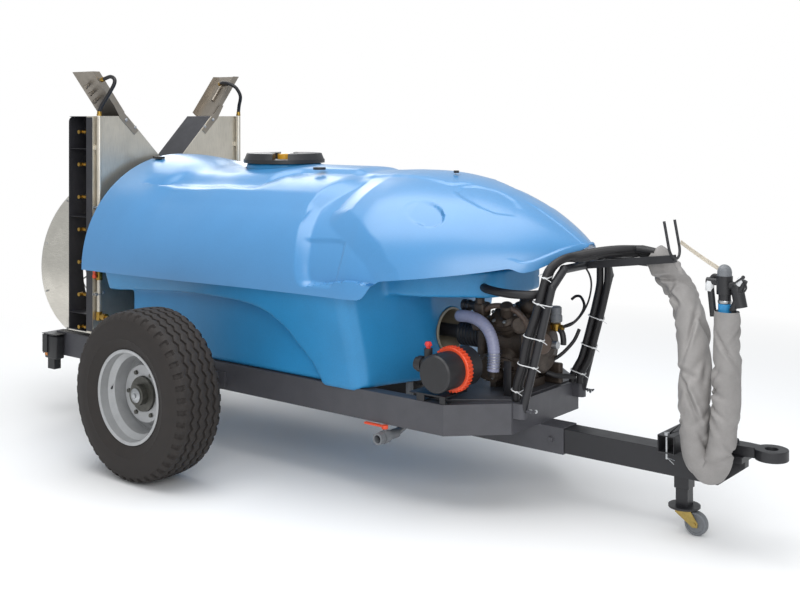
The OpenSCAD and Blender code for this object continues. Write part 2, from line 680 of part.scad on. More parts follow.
module filler_lid() {
    color(black) from_axle() {
        difference() {
            union() {
                post(neck_x, 0, [lid_z, lid_z + lid_t], lid_r);
                // Two grips with the vent between them
                translate([neck_x, 0, lid_z + lid_t - over]) rotate([0, 0, 38]) difference() {
                    cylinder(r1 = lid_r - 3, r2 = lid_r - 16, h = grip_h + over, $fn = 64);
                    for (s = [0, 1]) rotate([0, 0, 180 * s]) translate([0, -lid_r, -1])
                        cube([vent_r + 4, 2 * lid_r, grip_h + 4]);
                    translate([0, 0, -1]) cylinder(r = 74, h = grip_h + 4);
                }
            }
            post(neck_x, 0, [lid_z + lid_t - 1, lid_z + lid_t + 8], vent_r + fit);
        }
        post(neck_x, 0, [lid_z - 5, lid_z + over], neck_r - neck_wall - 2);
        box([hinge_x - 6, neck_x - lid_r + 12], [-36, 36], [hinge_z - 6, hinge_z + 6]);
        bar_y(hinge_x, [-57, 57], hinge_z, hinge_r);
    }
}
vent_r = 34;
grip_h = 30;
module lid_vent() {
    color("#e0a21e") from_axle() {
        post(neck_x, 0, [lid_z + lid_t - 1, lid_z + lid_t + 25], vent_r);
    }
}
// [x, y, radius] of the caps in the hood's crown
cap_spots = [[428, -186, 30], [1126, -46, 12]];
slot_spot = [-735, -190];
module service_caps() {
    color(black) from_axle() {
        for (c = cap_spots) let (z = crown_z(c[0], c[1] + c[2]) + fit) post(c[0], c[1], [z, z + 11], c[2]);
        translate([slot_spot[0], slot_spot[1], crown_z(slot_spot[0], slot_spot[1] + 13) + 6 + fit])
            cube([70, 26, 12], center = true);
    }
}
// Height of the hood's outside at x and y
function crown_z(x, y) = hood_base(x) + (hood_top(x) - hood_base(x))
    * pow(1 - pow(abs(y) / hood_half(x), rear_bulge), 1 / rear_bulge);

// ---- Pump and shafts --------------------------------------------------------------------
crank_r = 92;
head_r = 70;
head_out = 168;
head_lean = 40;
pump_bore = 20;
module pump_body() {
    x0 = pump_x - pump_len / 2;
    x1 = pump_x + pump_len / 2;
    color("#5a4a3c") from_axle() difference() {
        union() {
            bar_x([x0, x1], 0, shaft_z, crank_r);
            bar_x([x0 - 16, x1 + 14], 0, shaft_z, 48);
            for (a = [-head_lean, head_lean, 180 - head_lean, 180 + head_lean])
                translate([pump_x, 0, shaft_z]) rotate([a, 0, 0]) {
                    cylinder(r = head_r - 14, h = head_out - 30);
                    translate([0, 0, head_out - 58]) cylinder(r = head_r, h = 16);
                    translate([0, 0, head_out - 38]) cylinder(r = head_r, h = 20);
                    translate([0, 0, head_out - 19]) cylinder(r1 = head_r - 8, r2 = head_r - 26, h = 19);
                    for (k = [0:7]) rotate([0, 0, 45 * k + 22.5]) translate([head_r - 8, 0, head_out - 60])
                        cylinder(r = 5, h = 50, $fn = 6);
                }
            // Inlet port under the suction hose
            bar_y(1414, [suction_y - 4, -90], deck + suction_end - 30, 26);
            post(1414, suction_y, [deck + suction_end - 30, deck + suction_end - fit], suction_d / 2 - 2);
            // Feet on the tray
            for (s = [-1, 1]) {
                box([pump_x + s * 66 - 14, pump_x + s * 66 + 14], [-92, 92],
                    [deck + fit + tray_t, deck + 40]);
                box([pump_x + s * 66 - 8, pump_x + s * 66 + 8], [-50, 50], [deck + 20, shaft_z - 60]);
            }
        }
        bar_x([x0 - 20, x1 + 20], 0, shaft_z, pump_bore + run);
    }
}
// Air vessel, regulator and ports on the pump
module pump_valves() {
    color(brass) from_axle() {
        post(pump_x + 50, 0, [shaft_z + crank_r + fit, shaft_z + 150], 16);
        translate([pump_x + 50, 0, shaft_z + 150]) sphere(r = 38);
        bar_x([pump_x + pump_len / 2 + fit, pump_x + pump_len / 2 + 34], 62, shaft_z + 52, 22);
        post(pump_x + pump_len / 2 + 20, 62, [shaft_z + 40, shaft_z + 100], 14);
        post(pump_x + pump_len / 2 + 20, 62, [shaft_z + 96, shaft_z + 128], 24);
        bar_y(pump_x + pump_len / 2 + 20, [62, 150], shaft_z + 58, 13);
    }
}
module pump_shaft() {
    x0 = pump_x - pump_len / 2 - 40;
    x1 = pump_x + pump_len / 2 + 24;
    color("#a9abad") from_axle() {
        bar_x([x0, x1], 0, shaft_z, pump_bore);
        difference() {
            bar_x([x1 - over, x1 + pto_len], 0, shaft_z, pto_r);
            for (k = [0:5]) translate([x1 + 12, 0, shaft_z]) rotate([60 * k + 6, 0, 0])
                translate([0, -spline_w / 2, pto_r - 2]) cube([pto_len, spline_w, 6]);
        }
        bar_x([x0 - 22, x0 + over], 0, shaft_z, 42);
    }
}
pto_len = 82;
spline_w = 2.6;
gear_front = -fan_x + 118;
module yoke(x, s) {
    translate([x, 0, shaft_z]) {
        for (y = [-1, 1]) translate([s > 0 ? 0 : -46, y * 26 - 6, -16]) cube([46, 12, 32]);
        translate([s > 0 ? 20 : -34, 0, 0]) rotate([90, 0, 0]) cylinder(r = 9, h = 62, center = true);
    }
}
module drive_shaft() {
    x0 = gear_front + 60;
    x1 = pump_x - pump_len / 2 - 40 - 22 - fit;
    color("#3a3a3c") from_axle() {
        bar_x([gear_front - 60, x0 + 2], 0, shaft_z, 18);
        bar_x([x0, x0 + 14], 0, shaft_z, 40);
        bar_x([x0 + 12, x1 - 12], 0, shaft_z, 30);
        bar_x([x0 + 40, x0 + 110], 0, shaft_z, 46);
        bar_x([x1 - 110, x1 - 40], 0, shaft_z, 46);
        bar_x([x1 - 14, x1], 0, shaft_z, 40);
    }
}
rotor_shaft_r = 20;
module gearbox() {
    color("#6c6e70") from_axle() difference() {
        union() {
            bar_x([-fan_x + fit, gear_front - 10], 0, shaft_z, 82);
            bar_x([-fan_x + fit, gear_front - 10], 0, fan_z, 66);
            box([-fan_x + fit, gear_front - 10], [-66, 66], [shaft_z, fan_z]);
            bar_x([gear_front - 11, gear_front], 0, shaft_z, 44);
            bar_x([-fan_x - 18, -fan_x + over], 0, fan_z, 50);
        }
        bar_x([gear_front - 70, gear_front + over], 0, shaft_z, 18 + run);
        bar_x([-fan_x - 20, -fan_x + 70], 0, fan_z, rotor_shaft_r + run);
    }
}

// ---- Fan --------------------------------------------------------------------------------
sheet = 3;
plate_low = deck + 40;
shoulder_z = deck + fan_top;
notch_half = 297;
apex_z = shoulder_z - notch_half;
flange_w = 52;
throat_r = blade_r + 8;
fan_rear_x = -fan_x - fan_depth;
module in_yz(x, t) { translate([x, 0, 0]) rotate([90, 0, 90]) linear_extrude(t) children(); }
module housing_outline(r) {
    difference() {
        union() {
            translate([-fan_half + r, plate_low]) square([2 * (fan_half - r), shoulder_z - plate_low]);
            translate([-fan_half, plate_low]) square([2 * fan_half, shoulder_z - plate_low - r]);
            if (r > 0) for (s = [-1, 1]) translate([s * (fan_half - r), shoulder_z - r]) circle(r = r);
            translate([0, fan_z]) circle(r = cowl_r, $fn = 96);
        }
        polygon([[-notch_half, shoulder_z], [0, apex_z], [notch_half, shoulder_z],
            [notch_half, shoulder_z + 50], [-notch_half, shoulder_z + 50]]);
    }
}
module fan_front_plate() {
    color(stainless) from_axle() {
        in_yz(-fan_x - sheet, sheet) difference() {
            housing_outline(0);
            translate([0, fan_z]) circle(r = 50 + fit);
        }
        both_sides() box([-fan_x - flange_w, -fan_x - sheet + 0.5], [-fan_half, -fan_half + sheet],
            [plate_low, shoulder_z]);
    }
}
module fan_rear_plate() {
    color("#2a2a2c") from_axle() in_yz(fan_rear_x, sheet) difference() {
        housing_outline(30);
        translate([0, fan_z]) circle(r = throat_r, $fn = 96);
    }
}
// Sheets between the two plates
vane_h = [130, 638, 996];       // heights of the cross sheets in the side slots, above the rails
module air_guides() {
    x0 = fan_rear_x + sheet + fit;
    x1 = -fan_x - sheet - fit;
    d = x1 - x0;
    wrap_y = sqrt(pow(cowl_r, 2) - pow(fan_z - plate_low, 2));
    color("#3c3c40") from_axle() {
        in_yz(x0, d) {
            // Wrap under the fan
            difference() {
                translate([0, fan_z]) circle(r = cowl_r, $fn = 96);
                translate([0, fan_z]) circle(r = cowl_r - sheet, $fn = 96);
                translate([-cowl_r - 10, plate_low + sheet]) square([2 * cowl_r + 20, 2 * cowl_r]);
            }
            // Walls of the notch
            for (s = [-1, 1]) polygon([[0, apex_z - sheet * 1.42],
                [s * (notch_half + sheet), shoulder_z - sheet],
                [s * (notch_half + sheet), shoulder_z], [s * notch_half, shoulder_z], [0, apex_z]]);
            for (s = [-1, 1]) {
                translate([s > 0 ? notch_half : -fan_half + flange_gap, shoulder_z - sheet])
                    square([fan_half - notch_half - flange_gap, sheet]);
                translate([s > 0 ? wrap_y - 6 : -fan_half + flange_gap, plate_low])
                    square([fan_half - wrap_y + 6 - flange_gap, sheet]);
            }
        }
        both_sides() for (h = vane_h) difference() {
            box([x0, x1], [-fan_half + flange_gap, -fan_half + 120], [deck + h, deck + h + 2]);
            post(feed_x, -fan_half + 20, [deck + h - over, deck + h + 2 + over], feed_r + fit);
        }
    }
}
flange_gap = sheet + fit;
// Bell and drum behind the rear plate
module fan_cowl() {
    b = fan_rear_x - fit;
    e = -rear_reach;
    color(stainless) from_axle() turn_x(fan_z) polygon([
        [-cowl_r, b], [-cowl_r, e + 34], [-cowl_r + 8, e + 12], [-cowl_r + 22, e], [-cowl_r + 34, e],
        [-cowl_r + 30, e + 40], [-throat_r, e + 130], [-throat_r, b], [-throat_r - sheet, b],
        [-throat_r - sheet, e + 131], [-cowl_r + 27, e + 42], [-cowl_r + 29, e + 4], [-cowl_r + 23, e + 4],
        [-cowl_r + 11, e + 14], [-cowl_r + sheet, e + 35], [-cowl_r + sheet, b]]);
}
wire_r = 3;
grille_step = 42;
spoke_w = 7;
module fan_grille() {
    gx = -rear_reach + 22;
    rim = cowl_r - 32 - fit - wire_r;
    color("#8c8e90") from_axle() translate([gx, 0, fan_z]) rotate([0, 90, 0]) {
        for (r = [rim:-grille_step:50]) rotate_extrude($fn = 96) translate([r, 0])
            circle(r = wire_r, $fn = 8);
        for (k = [0:7]) rotate([0, 0, 45 * k + 22.5]) translate([40, -spoke_w / 2, 1])
            cube([rim - 40, spoke_w, wire_r + 2]);
        cylinder(r = 46, h = wire_r + 5);
    }
}
rotor_x = fan_rear_x - 20;
rotor_hub_r = 95;
blade_chord = 120;
module fan_rotor() {
    color("#d8d4c8") from_axle() translate([rotor_x, 0, fan_z]) {
        rotate([0, 90, 0]) {
            translate([0, 0, -42]) cylinder(r = rotor_hub_r, h = 84, $fn = 64);
            translate([0, 0, -58]) cylinder(r1 = 50, r2 = rotor_hub_r - 10, h = 17, $fn = 64);
            cylinder(r = rotor_shaft_r, h = -fan_x + 50 - rotor_x);
        }
        for (k = [0:blades - 1]) rotate([360 * k / blades, 0, 0]) translate([0, 0, rotor_hub_r - 6])
            rotate([0, 0, blade_pitch]) linear_extrude(blade_r - rotor_hub_r + 6) polygon([
                [-4, -blade_chord / 2], [3, -blade_chord / 2 + 8], [7, -blade_chord / 6],
                    [7, blade_chord / 6],
                [3, blade_chord / 2 - 6], [1, blade_chord / 2], [-2, blade_chord / 6],
                    [-3, -blade_chord / 6]]);
    }
}

// ---- Boom pipes and nozzles -------------------------------------------------------------
riser_x = -fan_x + 18;
riser_y = 494;
riser_r = 12.5;
valve_h = 338;                  // height of the shut-off valve in each riser, above the rails
valve_len = 44;
riser_low = 150;
module risers() {
    color("#c8c6be") from_axle() both_sides() {
        post(riser_x, -riser_y, [deck + valve_h + valve_len / 2 + fit, shoulder_z], riser_r);
        post(riser_x, -riser_y, [deck + riser_low + fit, deck + valve_h - valve_len / 2 - fit], riser_r);
        for (h = [riser_low + 80, 560, 994])
            box([-fan_x + fit, riser_x - 6], [-riser_y - 20, -riser_y + 20], [deck + h, deck + h + 24]);
    }
}
module supply_valves() {
    color(brass) from_axle() both_sides() {
        post(riser_x, -riser_y, [deck + valve_h - valve_len / 2, deck + valve_h + valve_len / 2], 17);
        bar_y(riser_x, [-riser_y - 24, -riser_y], deck + valve_h, 8);
        post(riser_x, -riser_y, [deck + riser_low - 44, deck + riser_low], 17);
        bar_x([riser_x, riser_x + 80], -riser_y, deck + riser_low - 24, 12);
        bar_x([riser_x + 34, riser_x + 60], -riser_y, deck + riser_low - 24, 19);
    }
}
module supply_lever() {
    y = -riser_y - 24 - fit;
    color(orange) from_axle() {
        bar_y(riser_x, [y - 10, y], deck + valve_h, 12);
        box([riser_x - 9, riser_x + 9], [y - 8, y - 2], [deck + valve_h - 8, deck + valve_h + 52]);
    }
}
module supply_lever_right() { supply_lever(); }
module supply_lever_left() { mirror([0, 1, 0]) supply_lever(); }
feed_r = 10;                    // radius of the pipe behind each row of nozzles
feed_x = -fan_x - flange_w + 14;
nozzle_low = 60;
nozzle_pitch = 171;
nozzle_r = 7;
module nozzles() {
    px = feed_x;
    color(brass) from_axle() both_sides() {
        post(px, -fan_half + 20, [plate_low + sheet + fit, shoulder_z - sheet - fit], feed_r);
        for (i = [0:nozzle_count - 1]) translate([0, 0, deck + nozzle_low + i * nozzle_pitch]) {
            bar_x([px - 74, px], -fan_half + 20, 0, nozzle_r);
            bar_x([px - 50, px - 36], -fan_half + 20, 0, 11, $fn = 6);
            bar_x([px - 86, px - 66], -fan_half + 20, 0, 10);
            bar_y(px - 76, [-fan_half - 4, -fan_half + 20], 0, 10);
        }
    }
}
// Upper arms; the arm's own z runs along it and its y points to the middle of the cart
arm_flange = 35;
arm_d = 175;
arm_out = 44;                   // how far the arms stand outside the notch
module at_arm() { translate([-fan_x - sheet - fit, -notch_half - arm_out, shoulder_z + fit])
    rotate([arm_lean, 0, 0]) children(); }
spray_in = 98;                  // how far the arm's spray heads sit behind its front flange
module arm_at_right() {
    tip_z = shoulder_z + arm_len * cos(arm_lean) + 2;
    from_axle() {
        color("#8f8d86") difference() {
            at_arm() linear_extrude(arm_len) polygon([[0, 0], [0, arm_flange], [-sheet, arm_flange],
                [-sheet, sheet], [-arm_d + sheet, sheet], [-arm_d + sheet, arm_flange],
                [-arm_d, arm_flange], [-arm_d, 0]]);
            box([-fan_x - arm_d - 20, -fan_x], [-notch_half - 400, -notch_half], [tip_z, tip_z + 60]);
        }
        // Spray heads near the arm's end, with the pipe that feeds them
        color(brass) at_arm() {
            for (h = [118, 165, 212]) translate([-spray_in, 0, h]) rotate([90, 0, 0]) {
                translate([0, 0, -12]) cylinder(r = 7, h = 38);
                translate([0, 0, 22]) cylinder(r = 11, h = 14);
                translate([0, 0, 5]) cylinder(r = 10, h = 8, $fn = 6);
            }
            translate([-spray_in, sheet + 7, 108]) cylinder(r = 8, h = 134);
            translate([-spray_in, sheet + 7, 232]) rotate([0, 90, 0]) cylinder(r = 6, h = spray_in - 1);
        }
        // Tab that bolts to the front plate
        color("#8f8d86") in_yz(-fan_x + fit, sheet) difference() {
            translate([-notch_half, shoulder_z]) polygon([[-arm_out - 50, 62], [-arm_out - 22, 62],
                [4, -10], [70, -78], [44, -100], [-arm_out - 4, -12]]);
            translate([-notch_half - 12, shoulder_z - 19]) circle(r = 6);
        }
    }
}
module arm_right() { arm_at_right(); }
module arm_left() { mirror([0, 1, 0]) arm_at_right(); }
arm_hose_right = [[-845, -494, 1170], [-844, -494, 1190], [-826, -491, 1226], [-772, -485, 1288],
    [-738, -480, 1336], [-742, -477, 1362], [-776, -475, 1374], [-818, -474, 1366], [-858, -474, 1358]];
arm_hose_left = [[-845, 494, 1170], [-844, 494, 1190], [-832, 488, 1230], [-806, 474, 1284],
    [-812, 452, 1328], [-832, 434, 1350], [-870, 424, 1363], [-915, 426, 1364], [-950, 440, 1356]];
module arm_hoses() {
    color(black) from_axle() translate([0, 0, deck]) for (route = [arm_hose_right, arm_hose_left])
        tube(curve(route, 3), 9, 8, [0.1, 1, 0]);
}
lamp_h = [-141, -15];
module tail_lamps() {
    y0 = -rail_y - 62;
    color("#b03020") from_axle() both_sides() {
        box([-rail_rear - 42, -rail_rear - fit], [y0, y0 + 138], [deck + lamp_h[0] + 30, deck + lamp_h[1]]);
        box([-rail_rear - 30, -rail_rear + 60], [y0, -rail_y - fit],
            [deck + lamp_h[1] + fit, deck + lamp_h[1] + 4]);
        box([-rail_rear - 20, -rail_rear + 40], [y0 + 20, -rail_y - fit],
            [deck + lamp_h[0] - 60, deck + lamp_h[0] + 20]);
    }
}

// ---- Hoses at the pump, filter and drain ------------------------------------------------
suction_y = -182;
suction_end = 104;              // height of the hose's lower end, above the rails
suction_route = [[1190, -150, 307], [1230, -152, 309], [1290, -160, 309], [1350, -172, 290],
    [1398, -181, 240],
    [1414, suction_y, 180], [1414, suction_y, 140], [1414, suction_y, 120], [1414, suction_y, suction_end]];
rib_pitch = 13;
// Points of a ribbed tube's route, two rings to a rib
function ribbed(route, n) = [for (i = [0:n]) let (q = i * (len(route) - 1) / n, k = min(floor(q),
    len(route) - 2))
    route[k] + (route[k + 1] - route[k]) * (q - k)];
module suction_hose() {
    line = ribbed(curve(suction_route, 6), 56);
    n = 8;
    m = len(line);
    r = suction_d / 2;
    outer = [for (i = [0:m - 1]) ring(line, i, i % 2 == 0 || i < 3 || i > m - 4 ? r - 2 : r, n, [0, 1, 0])];
    bore = [for (i = [0:m - 1]) ring(line, i, r - 5, n, [0, 1, 0])];
    color("#8f93b0") from_axle() translate([0, 0, deck])
        polyhedron([for (q = outer) each q, for (q = bore) each q], [
            each skin(m, n), for (f = skin(m, n)) [f[0] + m * n, f[2] + m * n, f[1] + m * n],
            for (k = [0:n - 1]) each quad(k, m * n + k, m * n + (k + 1) % n, (k + 1) % n),
            for (k = [0:n - 1]) each quad((m - 1) * n + k, (m - 1) * n + (k + 1) % n,
                (2 * m - 1) * n + (k + 1) % n, (2 * m - 1) * n + k)]);
}
return_route = [[1062.4, -60, 400], [1076, -60, 400], [1092, -60, 400], [1124, -84, 402],
    [1200, -120, 412], [1330, -160, 425], [1480, -180, 436], [1600, -185, 445]];
module return_hose() {
    color(black) from_axle() translate([0, 0, deck]) tube(curve(return_route, 3), 20, 10);
}
filter_x = 1364;
filter_y = -400;
filter_h = 136;
bowl_r = 77;
ring_w = 34;
module filter_body() {
    z = deck + filter_h;
    color("#262628") from_axle() {
        bar_y(filter_x, [filter_y + ring_w / 2 + fit, filter_y + 96], z, bowl_r + 4);
        bar_y(filter_x, [filter_y + 90, filter_y + 130], z, 34);
        // Feet on the rail, and the shelf they carry behind the ring
        for (x = [[1222, 1262], [1340, 1368]]) {
            box(x, [-rail_y + 4, -rail_y + 10], [deck, deck + 30]);
            box(x, [-rail_y + 4, -rail_y + 48], [deck, deck + 5]);
        }
        box([1222, 1368], [-rail_y + 4, filter_y + 96], [deck + 26, deck + 32]);
        box([1330, 1368], [filter_y + ring_w / 2 + 8, filter_y + 96], [deck + 30, deck + 62]);
    }
}
module filter_bowl() {
    z = deck + filter_h;
    y1 = filter_y - ring_w / 2 - fit;
    color("#262628") from_axle() {
        translate([filter_x, -530, z]) rotate([-90, 0, 0])
            cylinder(r1 = bowl_r - 7, r2 = bowl_r, h = 8, $fn = 64);
        bar_y(filter_x, [-523, y1], z, bowl_r, $fn = 64);
        bar_x([filter_x - bowl_r - 44, filter_x - 40], -484, z + 22, 27);
        bar_x([filter_x - bowl_r - 30, filter_x - bowl_r - 8], -484, z + 22, 33);
        post(filter_x - 62, -484, [z + 30, z + 90], 17);
    }
}
module filter_ring() {
    color(orange) from_axle() translate([filter_x, filter_y - ring_w / 2, deck + filter_h])
        rotate([-90, 0, 0])
        difference() {
            union() {
                cylinder(r = filter_d / 2 - 5, h = ring_w, $fn = 96);
                for (k = [0:23]) rotate([0, 0, 15 * k]) translate([filter_d / 2 - 8, -4, 3])
                    cube([8, 8, ring_w - 6]);
            }
            translate([0, 0, -over]) cylinder(r = bowl_r - 2, h = ring_w + 2 * over, $fn = 96);
        }
}
module filter_knob() {
    z = deck + filter_h + 90 + fit;
    color("#e03a34") from_axle() {
        post(filter_x - 62, -484, [z, z + 8], 9);
        post(filter_x - 62, -484, [z + 7, z + 26], 17);
        box([filter_x - 62 - 24, filter_x - 62 + 24], [-489, -479], [z + 9, z + 24]);
    }
}
drain_x = 1062;
drain_h = -178;
drain_y = -rail_y - 56;
sump_x = 990;
sump_y = -210;
module drain_valve() {
    z = deck + drain_h;
    color("#6f7274") from_axle() difference() {
        union() {
            bar_y(drain_x, [drain_y, drain_y + 26], z, 25);
            bar_y(drain_x, [drain_y + 20, drain_y + 130], z, 20);
            bar_y(drain_x, [drain_y + 34, drain_y + 66], z, 27);
            post(drain_x, drain_y + 50, [z, z + 34], 9);
            rod([drain_x, drain_y + 126, z], [sump_x, sump_y, z], 16);
            translate([sump_x, sump_y, z]) sphere(r = 18);
            post(sump_x, sump_y, [z, deck - fit], 16);
        }
        bar_y(drain_x, [drain_y - over, drain_y + 60], z, 17);
    }
}
module drain_lever() {
    z = deck + drain_h + 34 + fit;
    color(orange) from_axle() {
        post(drain_x, drain_y + 50, [z, z + 14], 14);
        box([drain_x - 108, drain_x], [drain_y + 42, drain_y + 58], [z + 5, z + 12]);
    }
}

// ---- Hose support, hoses and control unit -----------------------------------------------
post_x = nose_x + 26;
post_y = 240;
frame_top = deck + arch_h;
frame_x = 1756;
arm_front = [2152, 0, 608];
module rod(a, b, r) {
    d = b - a;
    translate(a) rotate([0, acos(d[2] / norm(d)), atan2(d[1], d[0])]) cylinder(r = r, h = norm(d));
}
module hose_support() {
    r = post_d / 2;
    foot = [post_x, -post_y, deck - 60];
    knee = [frame_x - 20, -post_y, frame_top - 70];
    bend = [frame_x, -post_y + 60, frame_top];
    from_axle() color(black) {
        both_sides() {
            rod(foot, knee, r);
            translate(knee) sphere(r = r + 1.5);
            rod(knee, bend, r);
            translate(bend) sphere(r = r + 1.5);
            rod(bend, [frame_x, 0, frame_top], r);
        }
        // Arm and fork
        h = arch_side / 2;
        run_x = arm_front[0] - frame_x;
        rise = deck + arm_front[2] - frame_top;
        translate([frame_x, 0, frame_top]) rotate([0, -atan2(rise, run_x), 0])
            translate([0, -h, -h]) cube([norm([run_x, rise]), arch_side, arch_side]);
        translate([arm_front[0] + fork_r, 0, deck + arm_front[2]]) rotate([0, -11, 0]) {
            translate([0, 0, fork_w / 2]) rotate([0, 90, 0]) rotate([0, 0, -90]) rotate_extrude(angle = 180)
                translate([fork_w / 2, 0]) circle(r = fork_r, $fn = 16);
            for (s = [-1, 1]) translate([0, s * fork_w / 2, fork_w / 2])
                cylinder(r = fork_r, h = 105, $fn = 16);
        }
    }
}
fork_r = 5.5;
fork_w = 94;
module post_clamps() {
    color(dark_steel) from_axle() both_sides() difference() {
        union() {
            box([nose_x + fit, post_x], [-post_y - 24, -post_y + 24], [deck - 62, deck]);
            post(post_x, -post_y, [deck - 62, deck], 24);
            bar_x([post_x + 18, post_x + 62], -post_y, deck - 28, 5);
            bar_y(post_x + 58, [-post_y - 14, -post_y + 14], deck - 28, 4);
        }
        rod([post_x, -post_y, deck - 61], [frame_x - 20, -post_y, frame_top - 71], post_d / 2 + fit);
        post(post_x, -post_y, [deck - 70, deck - 58], 22);
    }
}
// Routes from the tray, along a post, over the arm and into the sleeve
right_outer = [[1530, -190, 5.6], [1530, -190, 18], [1530, -190, 32], [1576, -200, 110],
    [1634, -200, 260], [1684, -190, 420],
    [1706, -172, 500], [1728, -150, 568], [1776, -120, 604], [1850, -66, 622], [1910, -18, 630],
    [1950, 22, 630], [1968, 44, 628], [1988, 44, 628], [2007.7, 44, 628]];
right_inner = [[1536, -146, 5.6], [1536, -146, 18], [1536, -146, 32], [1586, -158, 110],
    [1656, -162, 300], [1694, -142, 430],
    [1712, -116, 520], [1724, -108, 557], [1740, -94, 584], [1790, -64, 606], [1860, -14, 616],
        [1910, 30, 614],
    [1950, 62, 613], [1968, 78, 612], [1988, 78, 612], [2007.7, 78, 612]];
left_outer = [[1530, 190, 5.6], [1530, 190, 18], [1530, 190, 32], [1576, 200, 110], [1634, 200, 260],
    [1684, 190, 420],
    [1706, 172, 500], [1728, 150, 568], [1776, 132, 600], [1850, 122, 610], [1905, 112, 618],
    [1950, 108, 622], [1968, 106, 622], [1988, 106, 622], [2007.7, 106, 622]];
left_inner = [[1536, 146, 5.6], [1536, 146, 18], [1536, 146, 32], [1586, 158, 110], [1656, 162, 300],
    [1694, 142, 430],
    [1712, 116, 520], [1724, 106, 557], [1742, 97, 582], [1790, 86, 592], [1860, 80, 584], [1905, 75, 578],
    [1950, 73, 577], [1968, 72, 576], [1988, 72, 576], [2007.7, 72, 576]];
module hose(route) { translate([0, 0, deck]) tube(curve(route, 2), hose_d / 2, 8, [0.1, 1, 0.05]); }
module hoses_right() {
    color(black) from_axle() {
        hose(right_outer);
        hose(right_inner);
    }
}
module hoses_left() {
    color(black) from_axle() {
        hose(left_outer);
        hose(left_inner);
    }
}
sleeve_route = [[2008, 76, 600], [2040, 76, 600], [2120, 76, 600], [2196, 62, 545], [2240, 10, 450],
    [2274, -62, 300],
    [2286, -108, 120], [2288, -118, -50], [2300, -120, -120], [2345, -120, -156], [2390, -118, -120],
    [2403, -114, -50], [2404, -100, 120], [2404, -92, 300], [2404, -90, 414]];
sleeve_size = [56, 53, 50, 50, 52, 53, 55, 55, 53, 52, 52, 52, 50, 47, 44];
sleeve_n = 14;
sleeve_steps = 3;
module hose_sleeve() {
    line = curve(sleeve_route, sleeve_steps);
    m = len(line);
    rings = [for (i = [0:m - 1])
        let (t = heading(line, i), side = [0.25, 1, 0.1], u = unit(cross(t, cross(side, t))),
            v = cross(u, t),
            q = i / sleeve_steps, k = min(floor(q), len(sleeve_size) - 2),
            r = sleeve_size[k] + (sleeve_size[k + 1] - sleeve_size[k]) * (q - k),
            f = min(1, i / 4, (m - 1 - i) / 4))
        [for (j = [0:sleeve_n - 1]) let (a = 360 * j / sleeve_n,
            w = r * (1 - f * (0.045 + 0.045 * cos(3 * a + 47 * i) + 0.035 * cos(2 * a - 95 * i))))
            line[i] + w * (u * cos(a) + v * sin(a))]];
    color("#9a98a0") from_axle() translate([0, 0, deck])
        polyhedron([for (q = rings) each q],
            [each skin(m, sleeve_n), each cap(0, sleeve_n, false),
                each cap((m - 1) * sleeve_n, sleeve_n, true)]);
}
unit_at = [2392, -84, 536];
module control_unit() {
    color("#3b332f") from_axle() translate([unit_at[0], unit_at[1], deck + unit_at[2]]) {
        post(0, 0, [-34, 34], 30);
        post(2, -4, [-121.5, -30], 23);
        bar_x([-70, 0], 0, 10, 14);
        rod([-44, 0, -121.5], [-58, 0, 10], 13);
        translate([-58, 0, 10]) sphere(r = 15);
        rod([0, 0, 6], [64, -6, -8], 17);
        rod([48, -6, 6], [66, -6, -78], 24);
        rod([84, -16, 26], [36, -16, -92], 12);
    }
}
module control_knob() {
    color("#6b6f7a") from_axle() translate([unit_at[0], unit_at[1], deck + unit_at[2] + 34 + fit]) {
        cylinder(r = 27, h = 18);
        translate([0, 0, 17]) intersection() {
            sphere(r = 26);
            cylinder(r = 30, h = 30);
        }
    }
}
module control_lever() {
    color(black) from_axle() translate([unit_at[0] + 40, unit_at[1] - 6 - 24 - fit, deck + unit_at[2] + 6]) {
        rotate([90, 0, 0]) cylinder(r = 7, h = 8);
        rod([0, -5, 0], [46, -5, 34], 3.5);
        translate([46, -5, 34]) sphere(r = 7);
    }
}
module strap() {
    a = [arm_front[0] - 4, fork_w / 2 + 2, deck + arm_front[2] + 66];
    b = [unit_at[0], unit_at[1], deck + unit_at[2] + 46];
    d = b - a;
    color("#d8cdbb") from_axle() translate(a) rotate([0, 0, atan2(d[1], d[0])])
        rotate([0, atan2(-d[2], norm([d[0], d[1]])),
            0]) translate([9.5, -1, -9]) cube([norm(d) - 38.5, 2, 18]);
}

rail_right();
rail_left();
front_crossbar();
crossmembers();
axle_beam();
drawbar();
tow_eye();
storage_pin();
stand_leg();
caster_fork();
caster_wheel();
tyre_right();
rim_right();
hub_right();
tyre_left();
rim_left();
hub_left();
tank_body();
tank_hood();
filler_basket();
filler_lid();
lid_vent();
service_caps();
pump_body();
pump_valves();
pump_shaft();
drive_shaft();
gearbox();
suction_hose();
return_hose();
filter_body();
filter_bowl();
filter_ring();
filter_knob();
hose_support();
post_clamps();
hoses_right();
hoses_left();
hose_sleeve();
control_unit();
control_knob();
control_lever();
strap();
drain_valve();
drain_lever();
fan_front_plate();
fan_rear_plate();
air_guides();
fan_cowl();
fan_grille();
fan_rotor();
risers();
nozzles();
arm_right();
arm_left();
arm_hoses();
tail_lamps();
supply_valves();
supply_lever_right();
supply_lever_left();
